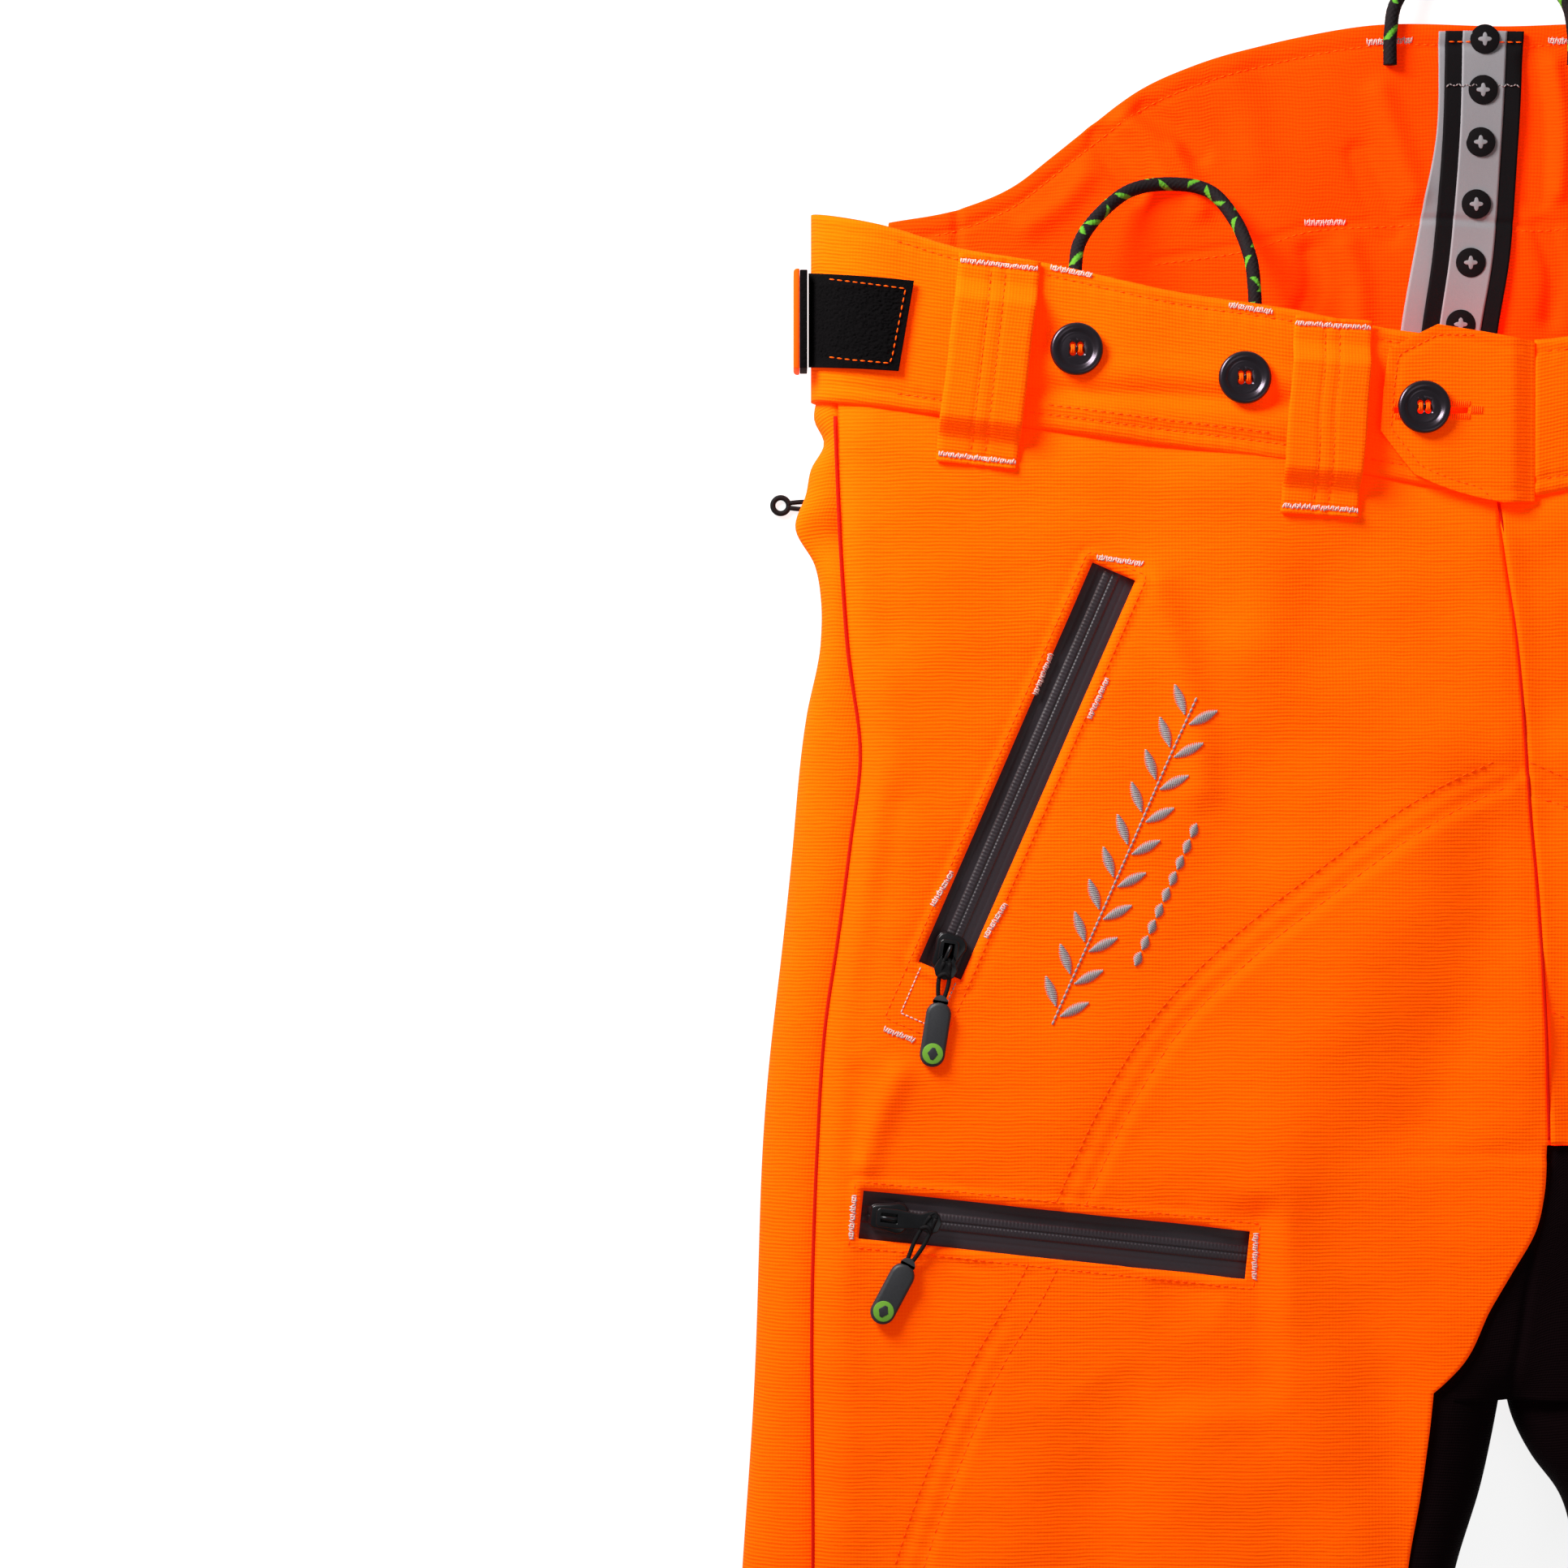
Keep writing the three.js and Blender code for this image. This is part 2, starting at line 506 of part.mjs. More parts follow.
const frontTape = (zip) => onZip(tape(zipLength(zip) + TAPE_SPARE), zip, zipLength(zip) / 2, TAPE_Z);
addPair('hand_zip_tape', frontTape(HAND_ZIP), TAPE_BLACK);
const HAND_SLIDER_AT = 7.2;
addPair('hand_zip_slider', onZip(slider(SLIDER_HEIGHT), HAND_ZIP, HAND_SLIDER_AT, SLIDER_Z), SLIDER_BLACK);
const HAND_PULL_ANGLE = -1.726;
const handPull = join(pullTab(10, 9), cordGrip(14).translate(8, 0, 0)).rotateZ(HAND_PULL_ANGLE);
const [handX, handY] = zipPoint(HAND_ZIP, HAND_SLIDER_AT);
addPair('hand_zip_pull', handPull.translate(handX, handY, PULL_Z), PULL_RUBBER);

addPair('thigh_zip_tape', frontTape(THIGH_ZIP), TAPE_BLACK);
const THIGH_SLIDER_AT = 10;
addPair('thigh_zip_slider', onZip(slider(SLIDER_HEIGHT), THIGH_ZIP, THIGH_SLIDER_AT, SLIDER_Z), SLIDER_BLACK);
const THIGH_TAB = 19;
const THIGH_CORD_ANGLE = -2.06;
const thighCord = cordGrip(17).rotateZ(THIGH_CORD_ANGLE - zipAngle(THIGH_ZIP)).translate(THIGH_TAB - 4, 0, 0);
const thighPull = join(pullTab(THIGH_TAB, 9), thighCord).rotateZ(zipAngle(THIGH_ZIP));
const [thighX, thighY] = zipPoint(THIGH_ZIP, THIGH_SLIDER_AT);
addPair('thigh_zip_pull', thighPull.translate(thighX, thighY, PULL_Z), PULL_RUBBER);

// Rear pocket zips face down: tape above the opening, slider inside it, cord ring out at the side
const REAR_TAPE_Z = CLOTH + GAP + TAPE_CLOTH;
addPair('rear_zip_tape', onZip(tape(zipLength(REAR_ZIP) - 8, -1), REAR_ZIP, zipLength(REAR_ZIP) / 2 + 3,
  REAR_TAPE_Z), TAPE_BLACK);
const REAR_SLIDER_AT = 9;
const REAR_SLIDER_Z = 0.1;
const rearSlider = plate([[-6, -3.6], [2, -5], [6, -4], [6, 4], [2, 5], [-6, 3.6]], 0, 2);
addPair('rear_zip_slider', onZip(rearSlider, REAR_ZIP, REAR_SLIDER_AT, REAR_SLIDER_Z), SLIDER_BLACK);
const ringOuter = new THREE.CylinderGeometry(4.1, 4.1, 2, 16).rotateX(Math.PI / 2);
const ringHole = new THREE.CylinderGeometry(1.7, 1.7, 6, 10).rotateX(Math.PI / 2);
const ringTail = block(15.5, 0, -1, 1, 24.5, 3);
const rearPull = cut(join(ringOuter, ringTail), ringHole);
addPair('rear_zip_pull', rearPull.translate(-260.9, REAR_ZIP.end[1], 1.2), CORD_BLACK);

// Fly zip, hidden under the left front
const FLY_X = 26;
const FLY_ZIP = { end: [FLY_X, 416], towards: [FLY_X, 254] };
const FLY_Z = 24;
add('fly_zip_tape', onZip(tape(zipLength(FLY_ZIP)), FLY_ZIP, zipLength(FLY_ZIP) / 2, FLY_Z), TAPE_BLACK);
const FLY_SLIDER_AT = 9;
const flySliderZ = FLY_Z + TAPE_CLOTH + COIL_HEIGHT + GAP;
add('fly_zip_slider', onZip(slider(SLIDER_HEIGHT), FLY_ZIP, FLY_SLIDER_AT, flySliderZ), SLIDER_BLACK);
const flyPullZ = flySliderZ + SLIDER_HEIGHT + PULL_GAP;
add('fly_zip_pull', onZip(pullTab(20, 9), FLY_ZIP, FLY_SLIDER_AT, flyPullZ), SLIDER_BLACK);

export default group;
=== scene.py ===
# %% [markdown]
# # Chainsaw trousers, laid flat
# Hi-vis forestry trousers lie on their back on a pale floor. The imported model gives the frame: every
# piece below is placed from its boxes, in millimetres that are turned into metres only when a mesh is
# made. The cloth is drawn as height fields and rolled sections, because trousers pressed flat by hand
# have long soft folds that a short cloth simulation would not repeat the same way each time.

# %% Load the fixed frame
import json
import math

import bmesh
import bpy
import numpy as np
from mathutils import Matrix, Vector

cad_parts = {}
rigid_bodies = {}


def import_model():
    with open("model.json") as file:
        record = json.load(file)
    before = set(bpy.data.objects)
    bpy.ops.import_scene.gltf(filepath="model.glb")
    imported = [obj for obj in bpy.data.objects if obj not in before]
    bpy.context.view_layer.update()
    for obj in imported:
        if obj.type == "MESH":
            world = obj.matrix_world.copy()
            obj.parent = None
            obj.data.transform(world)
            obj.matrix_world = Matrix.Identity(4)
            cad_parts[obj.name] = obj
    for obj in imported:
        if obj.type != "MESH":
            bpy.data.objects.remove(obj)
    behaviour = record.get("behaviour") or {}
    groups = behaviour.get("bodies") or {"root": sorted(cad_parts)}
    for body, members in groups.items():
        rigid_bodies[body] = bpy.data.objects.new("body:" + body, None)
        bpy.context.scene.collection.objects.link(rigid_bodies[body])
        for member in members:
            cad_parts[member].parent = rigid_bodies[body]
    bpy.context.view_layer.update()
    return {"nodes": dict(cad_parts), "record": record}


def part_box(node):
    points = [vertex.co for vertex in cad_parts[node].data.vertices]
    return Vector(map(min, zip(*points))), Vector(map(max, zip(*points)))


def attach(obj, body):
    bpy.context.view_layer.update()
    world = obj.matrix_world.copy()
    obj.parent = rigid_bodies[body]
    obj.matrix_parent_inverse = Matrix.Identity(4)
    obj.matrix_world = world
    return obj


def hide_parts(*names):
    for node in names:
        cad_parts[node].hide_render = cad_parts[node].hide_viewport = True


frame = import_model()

MM = 0.001
SIGN = {"right": -1, "left": 1}
SEEDS = {"right": {"front": 3, "side_roll": 21, "inner_leg": 31, "band": 51},
         "left": {"front": 11, "side_roll": 22, "inner_leg": 32, "band": 52}}

# %% [markdown]
# Four helpers do most of the work. A table of a few listed points is read as a smooth curve, a
# grid of points becomes a mesh with its own cloth coordinates, a piece is mirrored for the other leg,
# and soft random waves give the cloth its unevenness. The waves use fixed seeds, so each run is alike.

# %% Smooth tables, node boxes and soft waves
def smooth(table, key):
    t = np.asarray(table, float)
    k, v = t[:, 0], t[:, 1]
    slope = np.gradient(v, k)
    key = np.clip(np.asarray(key, float), k[0], k[-1])
    i = np.clip(np.searchsorted(k, key) - 1, 0, len(k) - 2)
    h = k[i + 1] - k[i]
    s = (key - k[i]) / h
    rise = (2 * s**3 - 3 * s**2 + 1) * v[i] + (s**3 - 2 * s**2 + s) * h * slope[i]
    return rise + (-2 * s**3 + 3 * s**2) * v[i + 1] + (s**3 - s**2) * h * slope[i + 1]


def straight(table, key):
    t = np.asarray(table, float)
    return np.interp(key, t[:, 0], t[:, 1])


def node_box(name):
    low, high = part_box(name)
    return np.array(low) / MM, np.array(high) / MM


WAVE_COUNT = 7


def waves(x, y, seed, length, height):
    rng = np.random.default_rng(seed)
    total = np.zeros(np.broadcast(x, y).shape)
    for _ in range(WAVE_COUNT):
        angle = rng.uniform(0, 2 * math.pi)
        reach = length * rng.uniform(0.7, 1.5)
        phase = rng.uniform(0, 2 * math.pi)
        total = total + np.sin((x * math.cos(angle) + y * math.sin(angle)) * 2 * math.pi / reach + phase)
    return total * height / math.sqrt(WAVE_COUNT)


def step(edge0, edge1, value):
    t = np.clip((value - edge0) / (edge1 - edge0), 0, 1)
    return t * t * (3 - 2 * t)


def bell(value, centre, width):
    return np.exp(-((value - centre) / width) ** 2)


def line_distance(x, y, points):
    best = np.full(np.broadcast(x, y).shape, 1e9)
    side = np.zeros(best.shape)
    for (x0, y0), (x1, y1) in zip(points, points[1:]):
        dx, dy = x1 - x0, y1 - y0
        t = np.clip(((x - x0) * dx + (y - y0) * dy) / (dx * dx + dy * dy), 0, 1)
        d = np.hypot(x - x0 - t * dx, y - y0 - t * dy)
        turn = np.sign(dx * (y - y0) - dy * (x - x0))
        side = np.where(d < best, turn, side)
        best = np.minimum(best, d)
    return best, side


def curve_points(points, spacing):
    p = np.asarray(points, float)
    along = np.concatenate([[0], np.cumsum(np.linalg.norm(np.diff(p, axis=0), axis=1))])
    samples = np.linspace(0, along[-1], max(2, int(along[-1] / spacing) + 1))
    columns = [smooth(np.stack([along, p[:, c]], 1), samples) for c in range(p.shape[1])]
    return np.stack(columns, 1)


# %% Grid meshes, mirrored copies and thickness
def add_object(name, data):
    made = bpy.data.objects.new(name, data)
    bpy.context.scene.collection.objects.link(made)
    return made


def baked_mesh(piece):
    graph = bpy.context.evaluated_depsgraph_get()
    return bpy.data.meshes.new_from_object(piece.evaluated_get(graph), depsgraph=graph)


def finish_mesh(name, verts, faces, material, uv=None, body="trousers"):
    mesh = bpy.data.meshes.new(name)
    mesh.from_pydata((np.asarray(verts, float) * MM).tolist(), [], [list(f) for f in faces])
    mesh.materials.append(material)
    if uv is not None:
        layer = mesh.uv_layers.new(name="Cloth")
        corner = np.empty(len(mesh.loops), np.int64)
        mesh.loops.foreach_get("vertex_index", corner)
        layer.data.foreach_set("uv", (np.asarray(uv, float)[corner] * MM).ravel())
    mesh.polygons.foreach_set("use_smooth", [True] * len(mesh.polygons))
    mesh.update()
    piece = add_object(name, mesh)
    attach(piece, body)
    return piece


def grid_faces(rows, cols, wrap=False, flip=False):
    index = np.arange(rows * cols).reshape(rows, cols)
    if wrap:
        index = np.concatenate([index, index[:, :1]], 1)
    faces = np.stack([index[:-1, :-1], index[:-1, 1:], index[1:, 1:], index[1:, :-1]], -1).reshape(-1, 4)
    return faces[:, ::-1] if flip else faces


def grid_piece(name, points, material, flip=False):
    points = np.asarray(points, float)
    rows, cols = points.shape[:2]
    across = np.zeros((rows, cols))
    across[:, 1:] = np.cumsum(np.linalg.norm(np.diff(points, axis=1), axis=2), 1)
    across -= across.mean(1, keepdims=True)
    along = np.zeros((rows, cols))
    along[1:] = np.cumsum(np.linalg.norm(np.diff(points, axis=0), axis=2), 0)
    uv = np.stack([across, along], -1).reshape(-1, 2)
    return finish_mesh(name, points.reshape(-1, 3), grid_faces(rows, cols, flip=flip), material, uv)


def thicken(piece, thickness):
    solid = piece.modifiers.new("Cloth thickness", "SOLIDIFY")
    solid.thickness = thickness * MM
    solid.offset = -1.0
    solid.use_even_offset = False
    return piece


def rounded(piece, width, angle=35):
    bevel = piece.modifiers.new("Rounded edges", "BEVEL")
    bevel.width = width * MM
    bevel.segments = 2
    bevel.limit_method = "ANGLE"
    bevel.angle_limit = math.radians(angle)
    return piece


def mirror_piece(piece, name, body=None):
    mesh = piece.data.copy()
    mesh.name = name
    co = np.empty(len(mesh.vertices) * 3)
    mesh.vertices.foreach_get("co", co)
    co = co.reshape(-1, 3)
    co[:, 0] *= -1
    mesh.vertices.foreach_set("co", co.ravel())
    mesh.flip_normals()
    mesh.update()
    copy = add_object(name, mesh)
    for old in piece.modifiers:
        new = copy.modifiers.new(old.name, old.type)
        for field in ("thickness", "offset", "use_even_offset", "width", "segments", "limit_method",
                      "angle_limit", "levels", "render_levels"):
            if hasattr(old, field):
                setattr(new, field, getattr(old, field))
    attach(copy, body or "trousers")
    return copy


def outline_solid(name, outline, low, high, material, body, bevel=0.4):
    count = len(outline)
    verts = [(x, y, low) for x, y in outline] + [(x, y, high) for x, y in outline]
    area = sum(a[0] * b[1] - b[0] * a[1] for a, b in zip(outline, outline[1:] + outline[:1]))
    order = list(range(count)) if area > 0 else list(range(count))[::-1]
    faces = [order[::-1], [i + count for i in order]]
    for i, j in zip(order, order[1:] + order[:1]):
        faces.append([i, j, j + count, i + count])
    piece = finish_mesh(name, verts, faces, material, None, body)
    return rounded(piece, bevel)


def join_meshes(name, pieces, body):
    graph = bpy.context.evaluated_depsgraph_get()
    whole = bmesh.new()
    materials = []
    for piece in pieces:
        piece.data.update()
        made = bpy.data.meshes.new_from_object(piece.evaluated_get(graph), depsgraph=graph)
        base = len(whole.faces)
        whole.from_mesh(made)
        whole.faces.ensure_lookup_table()
        for face in whole.faces[base:]:
            source = made.materials[face.material_index]
            if source not in materials:
                materials.append(source)
            face.material_index = materials.index(source)
        bpy.data.meshes.remove(made)
        bpy.data.objects.remove(piece)
    mesh = bpy.data.meshes.new(name)
    whole.to_mesh(mesh)
    whole.free()
    for material in materials:
        mesh.materials.append(material)
    result = add_object(name, mesh)
    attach(result, body)
    return result


# %% [markdown]
# ## Materials
# The orange is a fluorescent dye, and its shadows stay red instead of turning brown. A little constant
# emission of pure red paints that in: a painted glow that does not depend on the light falling on it. The
# rest
# is a matt weave: fine ribs run across the leg, and broken rows and slubs keep them from looking ruled.

# %% Node helpers
def new_material(name, color, roughness, metallic=0.0):
    material = bpy.data.materials.new(name)
    material.use_nodes = True
    shader = material.node_tree.nodes["Principled BSDF"]
    shader.inputs["Base Color"].default_value = (*color, 1)
    shader.inputs["Roughness"].default_value = roughness
    shader.inputs["Metallic"].default_value = metallic
    return material


def add_node(material, kind, **values):
    node = material.node_tree.nodes.new(kind)
    for key, value in values.items():
        if key in node.bl_rna.properties:
            setattr(node, key, value)
        else:
            node.inputs[key.replace("_", " ")].default_value = value
    return node


def wire(material, out_socket, in_socket):
    material.node_tree.links.new(out_socket, in_socket)


def shader_of(material):
    return material.node_tree.nodes["Principled BSDF"]


def math_node(material, operation, first, second=0.0):
    node = add_node(material, "ShaderNodeMath", operation=operation)
    for socket, value in zip(node.inputs, (first, second)):
        if isinstance(value, (int, float)):
            socket.default_value = value
        else:
            wire(material, value, socket)
    return node.outputs[0]


def bump(material, height, distance, strength):
    node = add_node(material, "ShaderNodeBump", Distance=distance, Strength=strength)
    wire(material, height, node.inputs["Height"])
    wire(material, node.outputs["Normal"], shader_of(material).inputs["Normal"])
    return node


NOISE_ROUGHNESS = 0.55


def noise(material, vector, scale, detail=3.0):
    node = add_node(material, "ShaderNodeTexNoise", Scale=scale, Detail=detail,
                    Roughness=NOISE_ROUGHNESS)
    wire(material, vector, node.inputs["Vector"])
    return node.outputs["Fac"]


def color_mix(material, factor, low, high):
    ramp = add_node(material, "ShaderNodeMix", data_type="RGBA")
    colors = [s for s in ramp.inputs if s.type == "RGBA"]
    colors[0].default_value = (*low, 1)
    colors[1].default_value = (*high, 1)
    wire(material, factor, ramp.inputs["Factor"])
    result = [s for s in ramp.outputs if s.type == "RGBA"][0]
    wire(material, result, shader_of(material).inputs["Base Color"])


# Sets a constant emission: a painted glow that lights the part whatever light falls on it.
def glowing(material, color, strength):
    shader_of(material).inputs["Emission Color"].default_value = (*color, 1)
    shader_of(material).inputs["Emission Strength"].default_value = strength
    return material


# %% Woven cloth
CLOTH_THICKNESS = 1.3
RIB = 1.3 * MM
THREAD_STEP = 0.9


def woven(name, low, high, glow, glow_strength, rib=RIB, relief=0.16, roughness=0.85):
    cloth = new_material(name, high, roughness)
    shader_of(cloth).inputs["Specular IOR Level"].default_value = 0.03
    place = add_node(cloth, "ShaderNodeUVMap", uv_map="Cloth").outputs["UV"]
    parts = add_node(cloth, "ShaderNodeSeparateXYZ")
    wire(cloth, place, parts.inputs[0])
    drift = noise(cloth, place, 1 / (22 * MM), 2.0)
    row = math_node(cloth, "MULTIPLY", parts.outputs["Y"], 2 * math.pi / rib)
    row = math_node(cloth, "ADD", row, math_node(cloth, "MULTIPLY", drift, 9.0))
    rows = math_node(cloth, "SINE", row)
    column = math_node(cloth, "MULTIPLY", parts.outputs["X"], 2 * math.pi / (THREAD_STEP * rib))
    thread = math_node(cloth, "SINE", column)
    stretched = add_node(cloth, "ShaderNodeMapping", Scale=(0.25, 1.6, 1))
    wire(cloth, place, stretched.inputs["Vector"])
    slub = noise(cloth, stretched.outputs[0], 1 / (2.2 * MM), 2.0)
    relief_sum = math_node(cloth, "ADD", math_node(cloth, "MULTIPLY", rows, 0.55),
                           math_node(cloth, "MULTIPLY", thread, 0.22))
    relief_sum = math_node(cloth, "ADD", relief_sum, math_node(cloth, "MULTIPLY", slub, 1.9))
    bump(cloth, relief_sum, relief * MM, 0.75)
    patch = noise(cloth, place, 1 / (60 * MM), 3.0)
    blend = math_node(cloth, "ADD", math_node(cloth, "MULTIPLY", patch, 0.5),
                      math_node(cloth, "MULTIPLY", slub, 0.35))
    blend = math_node(cloth, "ADD", blend, math_node(cloth, "MULTIPLY", rows, 0.07))
    color_mix(cloth, blend, low, high)
    return glowing(cloth, glow, glow_strength)


# Both orange cloths carry a painted glow: constant red emission that keeps their shadows red.
ORANGE = woven("hi_vis_orange_cloth", (0.95, 0.13, 0.0), (1.0, 0.2, 0.0), (1.0, 0.012, 0.0), 0.5)
FACING = woven("deep_orange_facing", (0.92, 0.06, 0.0), (1.0, 0.1, 0.0), (1.0, 0.008, 0.0), 0.5)
BLACK = woven("black_stretch_cloth", (0.004, 0.0015, 0.002), (0.009, 0.0035, 0.0045), (0, 0, 0), 0.0,
              rib=1.0 * MM, relief=0.12, roughness=0.95)
print("cloths:", [m.name for m in (ORANGE, FACING, BLACK)])


# %% [markdown]
# Threads, tape, metal and rubber are small, so each gets one fine relief and a roughness that sets it
# apart: thread is matt and twisted, the coated zip tape has a soft satin shine, and the buttons are
# dark polished metal.

# %% Small materials on object coordinates
def grained(name, color, roughness, scale, depth, metallic=0.0, dark=0.6):
    material = new_material(name, color, roughness, metallic)
    place = add_node(material, "ShaderNodeTexCoord").outputs["Object"]
    grain = noise(material, place, scale, 4.0)
    color_mix(material, grain, tuple(c * dark for c in color), color)
    if roughness > 0.6:
        shader_of(material).inputs["Specular IOR Level"].default_value = 0.12
    bump(material, grain, depth * MM, 0.5)
    return material


# The orange thread carries the same painted red glow as the cloth.
THREAD = glowing(grained("orange_thread", (1.0, 0.15, 0.0), 0.8, 3000, 0.1, dark=0.8), (1.0, 0.015, 0.0), 0.4)
TACK_THREAD = grained("pale_pink_tack_thread", (0.95, 0.68, 0.62), 0.6, 3000, 0.1, dark=0.8)
GREY_THREAD = grained("grey_embroidery_thread", (0.5, 0.42, 0.42), 0.5, 2500, 0.1, dark=0.7)
TAPE = grained("coated_zip_tape", (0.03, 0.02, 0.026), 0.45, 900, 0.05, dark=0.8)
SLIDER = grained("black_slider_paint", (0.012, 0.012, 0.014), 0.28, 400, 0.02, metallic=0.3)
RUBBER = grained("dark_grey_rubber", (0.035, 0.035, 0.04), 0.5, 1500, 0.06)
GREEN = grained("green_rubber_dot", (0.2, 0.48, 0.035), 0.5, 1500, 0.05, dark=0.85)
GUNMETAL = grained("gunmetal_button", (0.07, 0.056, 0.07), 0.28, 300, 0.02, metallic=0.9, dark=0.8)
HOLE = new_material("button_hole_dark", (0.004, 0.003, 0.003), 0.8)
PILE = grained("loop_pile_black", (0.0035, 0.0025, 0.003), 1.0, 900, 1.2, dark=0.2)
BLACK_TRIM = grained("black_binding", (0.008, 0.006, 0.007), 0.8, 1500, 0.15)
RIBBON_GREY = grained("ribbon_grey_weave", (0.36, 0.34, 0.36), 0.6, 1800, 0.12, dark=0.85)
ELASTIC = grained("white_elastic", (0.75, 0.74, 0.72), 0.8, 800, 0.3)
CORD_BLACK = grained("thin_black_cord", (0.012, 0.011, 0.012), 0.7, 2500, 0.2)
LINING = grained("pocket_lining_cloth", (0.05, 0.05, 0.055), 0.85, 900, 0.2)
PADDING = grained("protective_fibre", (0.8, 0.77, 0.7), 0.9, 300, 0.6, dark=0.75)

for slot_nodes, material in ((("zip_tape",), TAPE), (("zip_slider",), SLIDER), (("pull_grip",), RUBBER),
                             (("pocket_cloth",), LINING), (("elastic",), ELASTIC),
                             (("pad_fibre",), PADDING)):
    for sub in frame["record"]["subparts"]:
        if sub["material_slot"] in slot_nodes:
            for holder in frame["nodes"][sub["node"]].material_slots:
                holder.material = material

# %% [markdown]
# ## Front panels
# Each front panel is flat cloth in plan. The zip openings are cut while it is still flat, and only then
# does every point get its height: a rolled edge along the side crease, a raised edge where the
# protective pad starts, a lip round each zip and long soft folds. One height function serves the panel
# and everything that is sewn on it, so stitches and zips always lie on the cloth.

# %% Pattern lines of the front, in millimetres, for the wearer's right (half widths, keyed by height)
front_low, front_high = node_box("front_panel_right")
HEM = front_low[1]
TOP = front_high[2]
FORK = node_box("inner_leg_panel_right")[1][1]
OUTER = [(HEM, 291), (-280, 286), (46, 274), (154, 268.5), (229, 264), (299, 257), (351, 251.5), (378, 246.5),
         (392, 246.5), (405, 249), (419, 256.5), (431, 252.5), (440, 250.5), (449, 245.5), (458, 249),
         (468, 247)]
CREASE = [(HEM, 264), (-280, 258), (46, 249), (154, 249), (194, 247.5), (244, 244), (267, 240.5),
          (305, 235.5), (336, 232), (374, 236.5), (409, 239), (455, 241)]
INNER = {"right": [(HEM, 66), (-280, 50), (-150, 41), (-60, 33), (0, 25), (46, 16.5), (73, 8), (93, 3.5),
                   (FORK, 0.6)],
         "left": [(HEM, 66), (-280, 52), (-60, 40), (0, 34), (46, 27), (71, 20), (83, 11), (97, 3.8),
                  (FORK, 0.8)]}
STRIP = {"right": [(HEM, 20), (46, 20), (73, 24), (FORK, 27)],
         "left": [(HEM, 20), (46, 24), (73, 28), (FORK, 42)]}
GUSSET_TOP = node_box("crotch_gusset")[1][1]
GUSSET = {"right": [(FORK, 27.3), (118, 18), (139, 7), (151, 0), (167, -9), (180, -12), (GUSSET_TOP, -13)],
          "left": [(FORK, 42.4), (139, 36), (167, 32), (GUSSET_TOP, 31)]}
CENTRE = [(GUSSET_TOP, 14), (244, 12.5), (276, 11), (322, 7), (374, 3), (427, -4)]
BAND_LOWER = [(-250, 464), (-206, 457.7), (-134, 448), (-79, 441), (-44, 435), (0, 427)]
BAND_UPPER = [(-250, 531.6), (-221, 525), (-198, 518), (-169, 513), (-119, 502), (-79, 496), (-44, 489),
              (0, 484)]
PAD_ARC = [(-2.5, 326), (-18, 319), (-32, 311), (-64, 288), (-93, 265), (-119, 239), (-134, 216), (-147, 190),
           (-158, 165), (-170, 140), (-182, 120), (-192, 98), (-203, 70), (-211, 46), (-222, 5), (-231, -60),
           (-237, -150), (-240, -300), (-243, -470), (-246, -570)]
EDGE_ROLL = 15
EDGE_DROP = 6
hand_tape = node_box("hand_zip_tape_right")
HAND_ZIP = {"end": (-204.0, 259.4), "towards": (-141.9, 402.0), "width": 16.5}
THIGH_ZIP = {"end": (-232.2, 172.3), "towards": (-94.1, 157.7), "width": 17.2}
TAPE_TOP = hand_tape[1][2] - 0.8
print("front panel", (front_high - front_low).round(1), "tape top", round(float(TAPE_TOP), 2))


def zip_frame(zipper):
    (x0, y0), (x1, y1) = zipper["end"], zipper["towards"]
    length = math.hypot(x1 - x0, y1 - y0)
    return np.array([x0, y0]), np.array([x1 - x0, y1 - y0]) / length, length


def zip_place(zipper, along, across=0.0):
    start, way, _ = zip_frame(zipper)
    return start + way * along + np.array([-way[1], way[0]]) * across


def opening_distance(x, y, zipper):
    start, way, length = zip_frame(zipper)
    along = (x - start[0]) * way[0] + (y - start[1]) * way[1]
    across = -(x - start[0]) * way[1] + (y - start[1]) * way[0]
    dx = np.maximum(np.abs(along - length / 2) - length / 2, -100)
    dy = np.abs(across) - zipper["width"] / 2
    outside = np.hypot(np.maximum(dx, 0), np.maximum(dy, 0))
    return np.where((dx < 0) & (dy < 0), np.maximum(dx, dy), outside)
